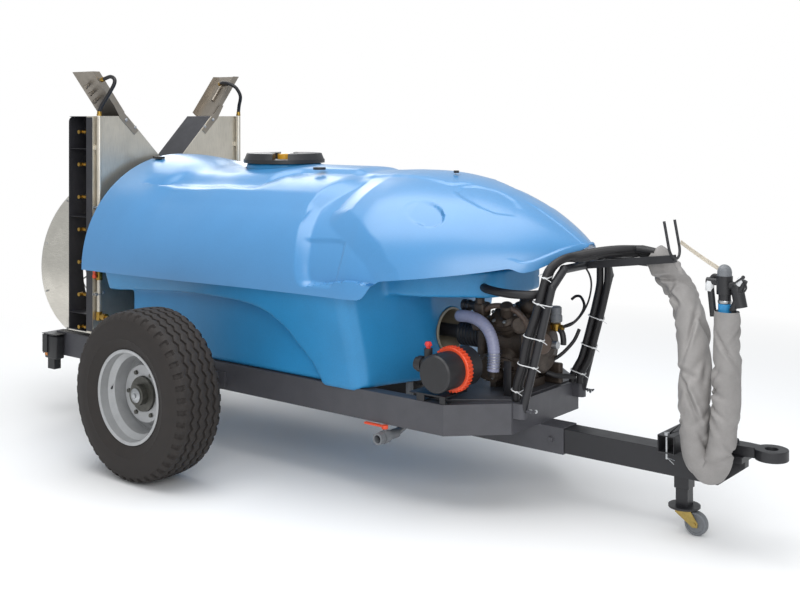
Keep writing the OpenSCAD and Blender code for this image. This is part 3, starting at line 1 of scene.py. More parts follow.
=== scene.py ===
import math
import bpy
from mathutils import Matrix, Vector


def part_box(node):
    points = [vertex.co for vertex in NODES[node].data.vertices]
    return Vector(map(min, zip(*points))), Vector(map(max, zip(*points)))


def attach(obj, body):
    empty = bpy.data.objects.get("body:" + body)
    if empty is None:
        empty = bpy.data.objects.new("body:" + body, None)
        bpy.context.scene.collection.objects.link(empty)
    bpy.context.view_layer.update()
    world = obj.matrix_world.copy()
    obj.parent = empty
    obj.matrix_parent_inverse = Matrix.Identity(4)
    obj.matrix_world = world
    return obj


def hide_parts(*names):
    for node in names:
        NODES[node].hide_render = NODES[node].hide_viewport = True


bl_info = {
    "name": "Wheeled orchard sprayer",
    "version": (1, 0, 0),
    "blender": (4, 5, 0),
    "location": "View3D > Sidebar > Sprayer",
    "description": "Dresses the frame of a trailed air-blast sprayer with its skins, hoses and finishes",
    "category": "Add Mesh",
}

import bpy
import numpy as np
from mathutils import Matrix, Vector

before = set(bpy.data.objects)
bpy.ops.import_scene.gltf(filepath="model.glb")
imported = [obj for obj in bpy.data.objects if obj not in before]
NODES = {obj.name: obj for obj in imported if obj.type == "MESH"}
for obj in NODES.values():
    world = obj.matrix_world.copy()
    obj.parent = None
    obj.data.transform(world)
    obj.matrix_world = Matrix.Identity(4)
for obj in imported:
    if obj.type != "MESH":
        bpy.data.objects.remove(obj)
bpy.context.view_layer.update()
AXLE_LOW, AXLE_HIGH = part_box("axle_beam")
AXLE = (AXLE_LOW + AXLE_HIGH) / 2
DECK = 458.0                    # top of the side rails above the ground, in mm
SIDES = (("right", -1), ("left", 1))
SHAFT = DECK + 202              # height of the drive shaft
WHEEL_Y, WHEEL_Z = 865.0, 380   # middle of each wheel, beside the axle and above the ground
FILLER_X = 15                   # middle of the filler neck, ahead of the axle
SHARP = 32                      # edges of the CAD pieces that turn by more degrees are rounded


# ---- Places and small tools --------------------------------------------------------------
def at(x, y, z):
    """A place in millimetres ahead of the axle, to the left and above the ground, in metres."""
    return Vector((AXLE.x + x / 1000, y / 1000, z / 1000))


def only(obj=None):
    """Leaves edit mode and selects nothing but obj."""
    if bpy.context.object and bpy.context.object.mode != "OBJECT":
        bpy.ops.object.mode_set(mode="OBJECT")
    bpy.ops.object.select_all(action="DESELECT")
    bpy.context.view_layer.objects.active = obj
    if obj:
        obj.select_set(True)
    return obj


def settle(obj, name=None):
    """Moves the object's place, turn and scale into its mesh."""
    only(obj)
    bpy.ops.object.transform_apply(location=True, rotation=True, scale=True)
    if name:
        obj.name = name
        obj.data.name = name
    return obj


def modify(obj, kind, **settings):
    """Adds a modifier and applies it."""
    only(obj)
    mod = obj.modifiers.new(kind.title(), kind)
    for key, value in settings.items():
        setattr(mod, key, value)
    bpy.ops.object.modifier_apply(modifier=mod.name)
    return obj


def join(name, *objs):
    """Joins meshes into the first of them."""
    only(objs[0])
    for o in objs:
        o.select_set(True)
    bpy.ops.object.join()
    objs[0].name = name
    objs[0].data.name = name
    return objs[0]


def smooth(obj, angle=35):
    """Smooth shading, broken where faces meet at more than the angle."""
    only(obj)
    bpy.ops.object.shade_smooth_by_angle(angle=math.radians(angle))
    return obj


def outward(obj, merge=0.0):
    """Merges doubles and turns every face outwards."""
    only(obj)
    bpy.ops.object.mode_set(mode="EDIT")
    bpy.ops.mesh.select_all(action="SELECT")
    if merge:
        bpy.ops.mesh.remove_doubles(threshold=merge)
    bpy.ops.mesh.normals_make_consistent(inside=False)
    bpy.ops.object.mode_set(mode="OBJECT")
    return obj


def close_holes(obj):
    """Fills every open edge loop and turns the faces outwards."""
    only(obj)
    bpy.ops.object.mode_set(mode="EDIT")
    bpy.ops.mesh.select_all(action="SELECT")
    bpy.ops.mesh.fill_holes(sides=0)
    bpy.ops.object.mode_set(mode="OBJECT")
    return outward(obj)


def copy_of(obj, name, matrix):
    """A copy with its own mesh, moved by the matrix."""
    twin = obj.copy()
    twin.data = obj.data.copy()
    twin.name = name
    bpy.context.scene.collection.objects.link(twin)
    twin.data.transform(matrix)
    if matrix.determinant() < 0:
        twin.data.flip_normals()
    return twin


def aimed(axis):
    """Turns +Z to the axis."""
    return Vector(axis).to_track_quat("Z", "Y").to_matrix().to_4x4()


def turned(name, profile, place, axis=(0, 0, 1), sides=32):
    """A turned part: a circle of the first radius, extruded ring by ring along the axis.

    profile holds (radius, height) in millimetres.
    """
    only()
    r, h = profile[0]
    bpy.ops.mesh.primitive_circle_add(vertices=sides, radius=r / 1000, location=(0, 0, h / 1000),
                                      fill_type="NGON")
    obj = bpy.context.object
    bpy.ops.object.mode_set(mode="EDIT")
    for radius, height in profile[1:]:
        bpy.ops.mesh.extrude_region_move(TRANSFORM_OT_translate={"value": (0, 0, (height - h) / 1000)})
        if abs(radius - r) > 1e-6:
            bpy.ops.transform.resize(value=(radius / r, radius / r, 1), center_override=(0, 0, height / 1000))
        r, h = radius, height
    bpy.ops.object.mode_set(mode="OBJECT")
    obj.matrix_world = Matrix.Translation(place) @ aimed(axis) @ obj.matrix_world
    settle(obj, name)
    return outward(obj)


def block(name, low, high, bevel=2.0, segments=2):
    """A box between two corners in millimetres from the axle, with its edges rounded."""
    only()
    a, b = at(*low), at(*high)
    bpy.ops.mesh.primitive_cube_add(size=1, location=(a + b) / 2, scale=[abs(c) for c in b - a])
    obj = settle(bpy.context.object, name)
    if bevel:
        modify(obj, "BEVEL", width=bevel / 1000, segments=segments, limit_method="ANGLE")
    return obj


def spline(points, steps):
    """A smooth line through the points, in equal steps between each two."""
    p = np.array(points, float)
    out = []
    for i in range(len(p) - 1):
        a, b, c, d = p[max(i - 1, 0)], p[i], p[i + 1], p[min(i + 2, len(p) - 1)]
        for k in range(steps):
            t = k / steps
            out.append(0.5 * (2 * b + (c - a) * t + (2 * a - 5 * b + 4 * c - d) * t * t
                              + (3 * b - a - 3 * c + d) * t ** 3))
    out.append(p[-1])
    return np.array(out)


def pipe(name, points, r, steps=6, sides=4):
    """A round hose or pipe along a route in millimetres from the axle, closed at its ends."""
    line = spline(points, steps)
    data = bpy.data.curves.new(name, "CURVE")
    data.dimensions = "3D"
    data.bevel_depth = r / 1000
    data.bevel_resolution = sides
    data.use_fill_caps = True
    path = data.splines.new("POLY")
    path.points.add(len(line) - 1)
    for q, point in zip(path.points, line):
        q.co = (*at(*point), 1)
    obj = bpy.data.objects.new(name, data)
    bpy.context.scene.collection.objects.link(obj)
    only(obj)
    bpy.ops.object.convert(target="MESH")
    obj = bpy.context.object
    outward(obj, 1e-5)
    return smooth(obj, 50)


def sheet_grid(name, points):
    """A grid primitive whose corners are moved to an array of places, in millimetres from the axle."""
    rows, cols = points.shape[:2]
    only()
    bpy.ops.mesh.primitive_grid_add(x_subdivisions=cols - 1, y_subdivisions=rows - 1, size=1)
    obj = bpy.context.object
    co = points.reshape(-1, 3).copy()
    co[:, 0] += AXLE.x * 1000
    obj.data.vertices.foreach_set("co", (co / 1000).astype(np.float32).ravel())
    obj.data.update()
    return settle(obj, name)


# ---- Materials ---------------------------------------------------------------------------
PLASTIC_IOR = 1.5               # close to that of polyethylene, nylon, paint and rubber


def linear(code):
    """An sRGB hex colour as linear values, with full alpha."""
    values = [int(code[i:i + 2], 16) / 255 for i in (1, 3, 5)]
    return tuple(v / 12.92 if v <= 0.04045 else ((v + 0.055) / 1.055) ** 2.4 for v in values) + (1.0,)


def add_node(tree, kind, inputs=None, **settings):
    """Adds a node with its settings, and links or sets each named input."""
    new = tree.nodes.new("ShaderNode" + kind)
    for key, value in settings.items():
        setattr(new, key, value)
    for key, value in (inputs or {}).items():
        if isinstance(value, bpy.types.NodeSocket):
            tree.links.new(value, new.inputs[key])
        else:
            new.inputs[key].default_value = value
    return new


def surface(name, colour, fade=0.85, patch=80, grain=1.5, bump=0.15, rough=(0.4, 0.5), metallic=0.0,
            stretch=(1, 1, 1), coat=0.0, coat_rough=0.1, depth=0.0004):
    """A finish whose colour drifts between two close tones.

    fade is how bright the second tone is beside the first. patch is the size of its cloudy patches and grain the size
    of its fine marks, in millimetres. stretch makes the marks longer along an axis, as brushing does.
    """
    mat = bpy.data.materials.new(name)
    mat.use_nodes = True
    tree = mat.node_tree
    shader = tree.nodes["Principled BSDF"]
    where = add_node(tree, "TexCoord").outputs["Object"]
    marks = add_node(tree, "Mapping", {"Vector": where, "Scale": stretch}).outputs["Vector"]
    cloud = add_node(tree, "TexNoise", {"Vector": where, "Scale": 1000 / patch, "Detail": 4.0, "Roughness": 0.6})
    fine = add_node(tree, "TexNoise", {"Vector": marks, "Scale": 1000 / grain, "Detail": 3.0, "Roughness": 0.55})
    both = add_node(tree, "Math", {0: cloud.outputs["Fac"], 1: fine.outputs["Fac"]}, operation="ADD")
    share = add_node(tree, "MapRange", {"Value": both.outputs[0], "From Min": 0.75, "From Max": 1.25})
    second = (*[min(1, c * fade) for c in colour], 1)
    mix = add_node(tree, "Mix", {"Factor": share.outputs[0], 6: (*colour, 1), 7: second}, data_type="RGBA")
    tree.links.new(mix.outputs[2], shader.inputs["Base Color"])
    dull = add_node(tree, "MapRange", {"Value": both.outputs[0], "From Min": 0.7, "From Max": 1.3,
                                       "To Min": rough[0], "To Max": rough[1]})
    tree.links.new(dull.outputs[0], shader.inputs["Roughness"])
    if bump:
        raised = add_node(tree, "Bump", {"Height": fine.outputs["Fac"], "Strength": bump, "Distance": depth})
        tree.links.new(raised.outputs[0], shader.inputs["Normal"])
    shader.inputs["Metallic"].default_value = metallic
    shader.inputs["Coat Weight"].default_value = coat
    shader.inputs["Coat Roughness"].default_value = coat_rough
    if not metallic:
        shader.inputs["IOR"].default_value = PLASTIC_IOR
    return mat


# Each finish: the material's name and how its surface is made; its colour is a property of the scene
FINISHES = {
    # Rotomoulded polyethylene: waxy, with a soft clear shine over a faint cloudy pull from the mould
    "hood": ("moulded_polyethylene_hood", dict(fade=0.92, patch=260, grain=5, bump=0.05, rough=(0.36, 0.44),
            coat=0.9, coat_rough=0.28)),
    # The same plastic, duller, and deeper in colour: partly painted shade for the shadow under the hood, partly the
    # tank's thicker wall letting less light back
    "tank": ("moulded_polyethylene_tank", dict(fade=0.87, patch=240, grain=5, bump=0.07, rough=(0.38, 0.46),
            coat=0.1, coat_rough=0.3)),
    # Powder-coated steel of the chassis: satin grey with a fine orange peel
    "grey_steel": ("powder_coated_steel_grey", dict(fade=0.8, patch=90, grain=2.2, bump=0.2, rough=(0.40, 0.52))),
    # Powder-coated steel of the drawbar and the hose support: darker and a little glossier
    "black_steel": ("powder_coated_steel_black", dict(fade=1.5, patch=70, grain=2.0, bump=0.2, rough=(0.34, 0.48))),
    # Tyre rubber: dull, with a brown bloom and road dust in its grain
    "rubber": ("vulcanised_tyre_rubber", dict(fade=1.66, patch=45, grain=1.6, bump=0.35, rough=(0.72, 0.86))),
    # Cloth-wrapped hose rubber: dark, with the weave of the wrapping showing in the light
    "hose": ("braided_hose_rubber", dict(fade=1.71, patch=30, grain=2.4, bump=0.4, rough=(0.45, 0.6), depth=0.0006)),
    # Wheel enamel: silver grey, half gloss
    "rim": ("silver_wheel_enamel", dict(fade=0.83, patch=60, grain=1.8, bump=0.12, rough=(0.34, 0.44),
            metallic=0.35)),
    # Rolled stainless sheet: brushed along its height, so the light runs in upright streaks
    "stainless": ("brushed_stainless_sheet", dict(fade=0.8, patch=140, grain=2.2, bump=0.10, rough=(0.30,
            0.40), metallic=0.85, stretch=(1, 1, 0.04))),
    # Stainless spun on a lathe: brushed round the cowl, brighter than the flat sheet
    "spun": ("spun_stainless_cowl", dict(fade=0.79, patch=160, grain=2.4, bump=0.10, rough=(0.24, 0.34),
            metallic=0.9, stretch=(0.05, 1, 1))),
    # Dark pressed sheet behind the nozzles, a soft sheen with no streaks; on thin strips over the front plate's
    # flanges it is painted shade
    "dark_sheet": ("dark_pressed_sheet", dict(fade=0.68, patch=70, grain=2.2, bump=0.15, rough=(0.40, 0.5),
            metallic=0.2)),
    # Bright zinc on bolts and pins: small clouds of lighter and darker grey
    "zinc": ("bright_zinc_plate", dict(fade=0.76, patch=14, grain=1.2, bump=0.12, rough=(0.28, 0.42), metallic=0.9)),
    # Yellow passivated zinc of the caster, mottled gold
    "gold_zinc": ("yellow_zinc_plate", dict(fade=0.77, patch=12, grain=1.2, bump=0.12, rough=(0.3, 0.45),
            metallic=0.85)),
    # Machined brass fittings, slightly tarnished in patches
    "brass": ("machined_brass", dict(fade=0.7, patch=12, grain=1.0, bump=0.1, rough=(0.25, 0.38), metallic=0.95)),
    # Sand-cast aluminium under a brown-grey coat: rough skin that breaks up its highlights
    "casting": ("coated_sand_casting", dict(fade=0.56, patch=26, grain=2.6, bump=0.6, rough=(0.42, 0.58),
            metallic=0.35, depth=0.0008)),
    # Gearbox casting under grey paint, rough skin
    "gear_casting": ("painted_gear_casting", dict(fade=0.77, patch=40, grain=2.6, bump=0.5, rough=(0.45, 0.6),
            metallic=0.2, depth=0.0008)),
    # Moulded polypropylene: black with a fine spark-eroded grain
    "black_plastic": ("moulded_polypropylene_black", dict(fade=1.57, patch=40, grain=1.4, bump=0.2,
            rough=(0.38, 0.5))),
    # Glass-filled nylon in signal orange, a low even shine
    "orange": ("moulded_nylon_orange", dict(fade=0.88, patch=40, grain=1.5, bump=0.15, rough=(0.35, 0.46))),
    # Moulded nylon in red, a low even shine
    "red": ("moulded_nylon_red", dict(fade=0.86, patch=40, grain=1.5, bump=0.15, rough=(0.33, 0.45))),
    # Moulded plastic in warm yellow, half matt
    "yellow": ("moulded_plastic_yellow", dict(fade=0.87, patch=40, grain=1.5, bump=0.15, rough=(0.38, 0.5))),
    # Moulded plastic in mid grey, half matt
    "grey_plastic": ("moulded_plastic_grey", dict(fade=0.81, patch=40, grain=1.5, bump=0.15, rough=(0.4, 0.5))),
    # Off-white glass-filled nylon of the fan's blades
    "fan_plastic": ("moulded_nylon_blade", dict(fade=0.88, patch=50, grain=1.6, bump=0.12, rough=(0.4, 0.5))),
    # Stainless of the upper arms, rougher than the sheet and painted darker: the darker colour is painted shade for
    # the dim surroundings they reflect
    "arm_stainless_shade": ("weathered_stainless", dict(fade=0.8, patch=70, grain=2.4, bump=0.12, rough=(0.38, 0.5), metallic=0.8)),
    # Hub enamel rubbed through to dark metal and grease
    "hub": ("greasy_hub_enamel", dict(fade=0.55, patch=22, grain=1.8, bump=0.3, rough=(0.35, 0.5), metallic=0.4)),
    # Clear vinyl over steel wire, which reads as a grey violet with a soft shine
    "suction": ("wire_wound_suction_hose", dict(fade=0.83, patch=26, grain=1.8, bump=0.15, rough=(0.32, 0.42))),
    # Red lamp lens: glossy and deep
    "lamp": ("lamp_lens_red", dict(fade=0.71, patch=20, grain=1.4, bump=0.1, rough=(0.16, 0.22), coat=0.5)),
    # Amber lamp lens: glossy and warm
    "amber": ("lamp_lens_amber", dict(fade=0.81, patch=20, grain=1.4, bump=0.1, rough=(0.16, 0.22), coat=0.5)),
    # White nylon of the cable ties
    "white": ("white_nylon_tie", dict(fade=0.9, patch=10, grain=1.0, bump=0.1, rough=(0.4, 0.5))),
    # Unpigmented polyethylene lining of the shaft tunnel, dusty beige
    "beige": ("moulded_liner_beige", dict(fade=0.79, patch=50, grain=2.0, bump=0.15, rough=(0.45, 0.55))),
    # Aged rubber of the short pump hose, brown and dry
    "brown_rubber": ("aged_hose_rubber", dict(fade=1.39, patch=24, grain=1.8, bump=0.25, rough=(0.45, 0.6))),
    # Coated polyester cloth of the sleeve: grey, matt, with a fine weave
    "cloth": ("coated_polyester_cloth", dict(fade=0.82, patch=60, grain=1.8, bump=0.25, rough=(0.5, 0.62))),
    # Woven polyester webbing of the strap, light and matt
    "webbing": ("woven_polyester_webbing", dict(fade=0.85, patch=20, grain=1.5, bump=0.3, rough=(0.7, 0.8))),
}


def finish(key):
    """The material of one finish, made the first time it is wanted."""
    name, settings = FINISHES[key]
    return bpy.data.materials.get(name) or surface(name, getattr(bpy.context.scene.sprayer_colours, key), **settings)


def paint(obj, material):
    """Gives the whole piece one material."""
    obj.data.materials.clear()
    obj.data.materials.append(finish(material))
    return obj


def dress(name, material, bevel):
    """A CAD node keeps its mesh, and gets a finish, rounded edges and even shading."""
    obj = NODES[name]
    obj.data.materials.clear()
    obj.data.materials.append(finish(material))
    obj.data.polygons.foreach_set("use_smooth", [True] * len(obj.data.polygons))
    weld = obj.modifiers.new("Weld", "WELD")
    weld.merge_threshold = 0.00002
    if bevel:
        edge = obj.modifiers.new("Edges", "BEVEL")
        edge.width = bevel / 1000
        edge.segments = 2
        edge.limit_method = "ANGLE"
        edge.angle_limit = math.radians(SHARP)
    even = obj.modifiers.new("Shading", "WEIGHTED_NORMAL")
    even.keep_sharp = False


# ---- Properties a user would change -------------------------------------------------------
def size(default, name, description, low=0.0005, high=2.0):
    """A length that a user may change, in metres."""
    return bpy.props.FloatProperty(name=name, description=description, default=default, min=low, max=high,
                                   unit="LENGTH", precision=4)


def colour(code, name, description):
    """A colour that a user may change, from its hex code."""
    return bpy.props.FloatVectorProperty(name=name, description=description, default=linear(code)[:3], min=0, max=1,
                                         size=3, subtype="COLOR")


class SprayerSizes(bpy.types.PropertyGroup):
    """Sizes of the pieces made here, in metres."""
    hood_skin: size(0.006, "Hood wall", "Thickness of the hood's moulded wall")
    tank_cell: size(0.0095, "Tank cell", "Cell of the remesh that rounds the tank's edges", 0.004, 0.02)
    tread_pitch: bpy.props.IntProperty(name="Tread pitches", default=44, min=24, max=72,
                                       description="Number of zigzags round each tyre")
    hose: size(0.0155, "Pressure hose", "Outer radius of the hoses over the support")
    suction: size(0.026, "Suction hose", "Outer radius of the wire-wound hose to the pump")
    back: size(0.018, "Return hose", "Outer radius of the hose back to the tank")
    arm_hose: size(0.010, "Arm hose", "Outer radius of the hoses to the upper arms")
    tie: size(0.0023, "Tie", "Half thickness of the cable ties")
    cloth: size(0.0014, "Sleeve cloth", "Thickness of the sleeve's cloth")
    bolt: size(0.008, "Bolt", "Half width of the hexagon heads")
    floor: size(14.0, "Floor", "Radius of the studio floor", 5.0, 40.0)
    overhead: bpy.props.FloatProperty(name="Overhead light", description="Power of the light above", default=165.0,
                                      min=0, unit="POWER")
    front: bpy.props.FloatProperty(name="Front light", description="Power of the light at the front", default=90.0,
                                   min=0, unit="POWER")
    rear: bpy.props.FloatProperty(name="Rear light", description="Power of the light behind", default=60.0,
                                  min=0, unit="POWER")


class SprayerColours(bpy.types.PropertyGroup):
    """Main colour of each finish."""
    hood: colour("#4086bd", "Hood", "Rotomoulded polyethylene")
    # Deeper than the hood's blue, partly as painted shade for the shadow under the hood
    tank: colour("#2c8ac2", "Tank", "The same plastic")
    grey_steel: colour("#4b4b50", "Grey steel", "Powder-coated steel of the chassis")
    black_steel: colour("#1c1c1f", "Black steel", "Powder-coated steel of the drawbar and the hose support")
    rubber: colour("#231f1d", "Rubber", "Tyre rubber")
    hose: colour("#151416", "Hose", "Cloth-wrapped hose rubber")
    rim: colour("#b4b5b6", "Rim", "Wheel enamel")
    stainless: colour("#ddd6c8", "Stainless", "Rolled stainless sheet")
    spun: colour("#e0dbd0", "Spun", "Stainless spun on a lathe")
    dark_sheet: colour("#35353a", "Dark sheet", "Dark pressed sheet behind the nozzles")
    zinc: colour("#b9bbbd", "Zinc", "Bright zinc on bolts and pins")
    gold_zinc: colour("#b59d5c", "Gold zinc", "Yellow passivated zinc of the caster")
    brass: colour("#b28f45", "Brass", "Machined brass fittings")
    casting: colour("#4a4038", "Casting", "Sand-cast aluminium under a brown-grey coat")
    gear_casting: colour("#6c6e70", "Gear casting", "Gearbox casting under grey paint")
    black_plastic: colour("#1d1d1f", "Black plastic", "Moulded polypropylene")
    orange: colour("#e4502b", "Orange", "Glass-filled nylon in signal orange")
    red: colour("#d93430", "Red", "Moulded nylon in red")
    yellow: colour("#dba22c", "Yellow", "Moulded plastic in warm yellow")
    grey_plastic: colour("#73767a", "Grey plastic", "Moulded plastic in mid grey")
    fan_plastic: colour("#d8d4c8", "Fan plastic", "Off-white glass-filled nylon of the fan's blades")
    # The arms' darker stainless is painted shade
    arm_stainless_shade: colour("#9d958a", "Arm shade", "Stainless of the upper arms")
    hub: colour("#5b5a54", "Hub", "Hub enamel rubbed to dark metal")
    suction: colour("#9093ad", "Suction", "Clear vinyl over steel wire")
    lamp: colour("#9c1c16", "Lamp", "Red lamp lens")
    amber: colour("#c9791a", "Amber", "Amber lamp lens")
    white: colour("#d9dadb", "White", "White nylon of the cable ties")
    beige: colour("#a79f8c", "Beige", "Unpigmented polyethylene lining of the shaft tunnel")
    brown_rubber: colour("#4d4038", "Brown rubber", "Aged rubber of the short pump hose")
    cloth: colour("#8f8c8a", "Cloth", "Coated polyester cloth of the sleeve")
    webbing: colour("#cfc5b4", "Webbing", "Woven polyester webbing of the strap")


def sizes():
    """The scene's own sizes."""
    return bpy.context.scene.sprayer_sizes


# ---- Shape of the hood and the tank, in millimetres from the axle -----------------------
HOOD_TIP, HOOD_REAR, NOSE_FROM = 1775.0, 800.0, 950.0
CROWN_COLUMN = 91               # columns of the hood's grid from one edge up to the crown


def ease(a, b, x):
    """0 up to a, 1 from b on, and a smooth step between them."""
    t = np.clip((np.asarray(x, float) - a) / (b - a), 0, 1)
    return t * t * (3 - 2 * t)


def nose_share(x):
    """How far along the nose a place is, from 0 where it starts to 1 at the tip."""
    return np.clip((np.asarray(x, float) - NOSE_FROM) / (HOOD_TIP - NOSE_FROM), 0, 1)


def hood_half(x):
    """Half width of the hood."""
    return 636.0 * np.maximum(0, 1 - nose_share(x) ** 1.5) ** 0.68


def hood_top(x):
    """Height of the crown."""
    return (DECK + 628 + 302 * (1 - nose_share(x) ** 2) + 32 * (1 - ease(-740, -340, x))
            - 14 * (ease(-520, -320, x) - ease(-220, 20, x)) - 14 * (ease(610, 720, x) - ease(1150, 1400, x)))


def hood_base(x):
    """Height at which the section's curve starts."""
    return DECK + 388 + 22 * ease(-800, 950, x) + 218 * nose_share(x) ** 3


def hood_lip(x):
    """Height of the lower edge, which rises over the pump."""
    x = np.asarray(x, float)
    risen = np.maximum(hood_base(x) + 3, DECK + 410 + 47 * ease(1043, 1122, x)
                       + 112 * ease(910, HOOD_TIP + 350, x) + 59 * nose_share(x) ** 9)
    risen = risen + 27 * ease(1043, 1112, x) * (1 - ease(1566, 1618, x))
    return np.where(x < 1040, hood_base(x), risen)


def hood_point(x, t):
    """A place on the hood: t runs from the right edge over the crown, 90 degrees, to the left."""
    x, t = np.broadcast_arrays(np.asarray(x, float), np.radians(np.asarray(t, float)))
    half, low, top = hood_half(x), hood_base(x), hood_top(x)
    y = -half * np.sign(np.cos(t)) * np.abs(np.cos(t)) ** (2 / 2.05)
    z = low + (top - low) * np.sin(t) ** (2 / 2.05)
    return np.stack([x, y, z], -1)


def unroll(x, t):
    """Distance along the hood's section from the crown down to t, at each x."""
    out = []
    for a, b in zip(np.atleast_1d(x), np.atleast_1d(t)):
        line = hood_point(a, np.linspace(b, 90, 60))
        out.append(np.linalg.norm(np.diff(line, axis=0), axis=1).sum())
    return np.array(out)


def flat_line(points):
    """Places (x, t) on the hood as (x, distance from the crown)."""
    p = np.array(points, float)
    return np.stack([p[:, 0], unroll(p[:, 0], p[:, 1])], -1)


def line_distance(px, py, line, closed=False):
    """Distance of many points from a line of few, and True where a closed line holds them."""
    best = np.full(px.shape, 1e9)
    inside = np.zeros(px.shape, bool)
    ends = list(zip(line, np.roll(line, -1, axis=0))) if closed else list(zip(line[:-1], line[1:]))
    for (ax, ay), (bx, by) in ends:
        dx, dy = bx - ax, by - ay
        t = np.clip(((px - ax) * dx + (py - ay) * dy) / (dx * dx + dy * dy + 1e-9), 0, 1)
        best = np.minimum(best, np.hypot(px - ax - t * dx, py - ay - t * dy))
        if closed:
            cross = (ay > py) != (by > py)
            with np.errstate(divide="ignore", invalid="ignore"):
                inside ^= cross & (px < (bx - ax) * (py - ay) / (by - ay + 1e-12) + ax)
    return best, inside


def raised(px, py, line, soft):
    """1 inside a closed line, falling to 0 over a soft band round it."""
    d, inside = line_distance(px, py, line, True)
    share = np.clip(0.5 + np.where(inside, d, -d) / soft, 0, 1)
    return share ** 2 * (3 - 2 * share)


# Lines of the moulding as (place ahead of the axle in mm, angle up the section in degrees)
WALL_ANGLE = (2.0, 5, 10, 18, 28, 36, 45, 51, 58, 66, 71, 80, 90)
WALL_REAR = (742, 707, 687, 670, 646, 628, 620, 628, 636, 662, 690, 610, 575)
WALL_FRONT = (800, 765, 744, 726, 701, 684, 667, 684, 716, 752, 780, 690, 650)
FLANK = [(640, 46), (794, 46), (854, 44), (943, 39), (1027, 32), (1099, 26), (1147, 19), (1186, 15), (1207, 9),
         (1212, 3), (690, 3), (640, 30)]
CREASE = [(854, 44), (943, 39), (1027, 32), (1099, 26), (1147, 19), (1186, 15), (1207, 9)]
PANEL = [(640, 27), (734, 27.5), (870, 28), (904, 27), (913, 20), (910, 13), (902, 5), (740, 4), (640, 10)]
OVAL = [(1244, 67), (1302, 63), (1384, 59), (1457, 58), (1506, 62), (1503, 73), (1457, 79), (1390, 81), (1331, 80),
        (1280, 78), (1241, 74)]
DECK_EDGE = ([-470, -417, -240, 65, 200, 245, 295, 682, 800], [417, 350, 340, 352, 340, 235, 182, 160, 200])


def hood_relief(x, y, t, s):
    """Height of the moulded forms over the plain hood, in mm, mirrored about the middle.

    x and y are places on the plain hood, t is the angle up the section and s the distance from the crown.
    """
    # Rear barrel: a flat deck beside the crown, ending in a crease along the shoulder
    edge = np.interp(x, *DECK_EDGE)
    face = np.interp(x, [200, 295], [105, 45])
    shoulder = 405.0
    ledge = -18 + 29 * np.clip((y - edge) / (shoulder - edge), 0, 1)
    barrel = np.where(y < edge, -18 * ease(0, 1, (y - edge + face) / face), ledge)
    below = np.clip((s - s_at(x, shoulder, y, s)) / 110, 0, 1)
    barrel = np.where(y > shoulder, 11 * (1 - below) ** 1.5, barrel) * ease(-640, -450, x)
    # Wall where the barrel stops and the nose stands lower
    rear, front = np.interp(t, WALL_ANGLE, WALL_REAR), np.interp(t, WALL_ANGLE, WALL_FRONT)
    ahead = np.clip((x - rear) / (front - rear), 0, 1)
    over = np.clip((t - 2.2) / 4.2, 0, 1)
    _, in_flank = line_distance(x, s, flat_line(FLANK), True)
    crease, _ = line_distance(x, s, flat_line(CREASE))
    flank = -np.minimum(0.24 * crease, 26) * in_flank
    flank -= 7 * raised(x, s, flat_line(PANEL), 10) * ease(20, 60, x - rear)
    upper = -np.clip(0.24 * (868 - x), 0, 26) * ease(38, 46, t) * (1 - 0.8 * ease(58, 80, t))
    nose = (flank + upper * ~in_flank) * over
    height = barrel * (1 - ahead) + nose * ahead
    # Raised crown of the nose, a dish in its side and a shallow oval near the tip
    height += 7 * ease(0, 20, 186 - 64 * ease(1180, 1250, x) - y) * ease(660, 760, x) * (1 - ease(1200, 1330, x))
    height -= 5.5 * raised(x, s, flat_line(OVAL), 12)
    cx, cs = flat_line([(1212, 47)])[0]
    away = np.hypot((x - cx + 10) / 96, (s - cs) / 66)
    height -= 20 * (away < 1) * np.clip(0.45 + 0.55 * (x - cx) / 92, 0.1, 1) * ease(0, 0.12, 1 - away)
    # Folded band along the front edge and up the middle of the tip
    low = s_low(x, s)
    height += 9 * ease(46, 36, low) * ease(1556, 1626, x)
    height += 4 * ease(36, 24, y) * ease(1440, 1560, x)
    return height


def s_at(x, place, y, s):
    """Distance from the crown at which each row of the grid reaches a given half width."""
    out = np.empty_like(s)
    for i in range(len(s)):
        order = np.argsort(y[i])
        out[i] = np.interp(place, y[i][order], s[i][order])
    return out


def s_low(x, s):
    """Distance of each place from the lower edge of the hood."""
    return s.max(axis=1, keepdims=True) - s


def hood_grid():
    """The hood's outer face, section by section, with the relief laid on along its normals."""
    xs = np.concatenate([np.linspace(-HOOD_REAR, -450, 16)[:-1], np.linspace(-450, 560, 62)[:-1],
                         np.linspace(560, 1320, 118)[:-1],
                         1320 + (HOOD_TIP - 3.0 - 1320) * np.sin(np.linspace(0, np.pi / 2, 54))])
    share = np.linspace(0, 1, CROWN_COLUMN + 1) ** 1.2
    share = np.concatenate([share / 2, 1 - share[-2::-1] / 2])
    rows = []
    for x in xs:
        base, top = float(hood_base(x)), float(hood_top(x))
        sink = max(0.0, (float(hood_lip(x)) - base) / (top - base)) ** 1.025
        first = math.degrees(math.asin(min(0.98, sink)))
        rows.append(first + (180 - 2 * first) * share)
    t = np.array(rows)
    points = hood_point(xs[:, None], t)
    step = np.linalg.norm(np.diff(points, axis=1), axis=2)
    run = np.concatenate([np.zeros((len(xs), 1)), np.cumsum(step, axis=1)], axis=1)
    s = np.abs(run - run[:, [CROWN_COLUMN]])
    lift = hood_relief(points[:, :, 0], np.abs(points[:, :, 1]), np.minimum(t, 180 - t), s)
    du = np.gradient(points, axis=0)
    dv = np.gradient(points, axis=1)
    normal = np.cross(dv, du)
    normal /= np.linalg.norm(normal, axis=2, keepdims=True) + 1e-9
    normal *= np.sign(normal[:, CROWN_COLUMN:CROWN_COLUMN + 1, 2:3])
    points = points + normal * lift[:, :, None]
    return points


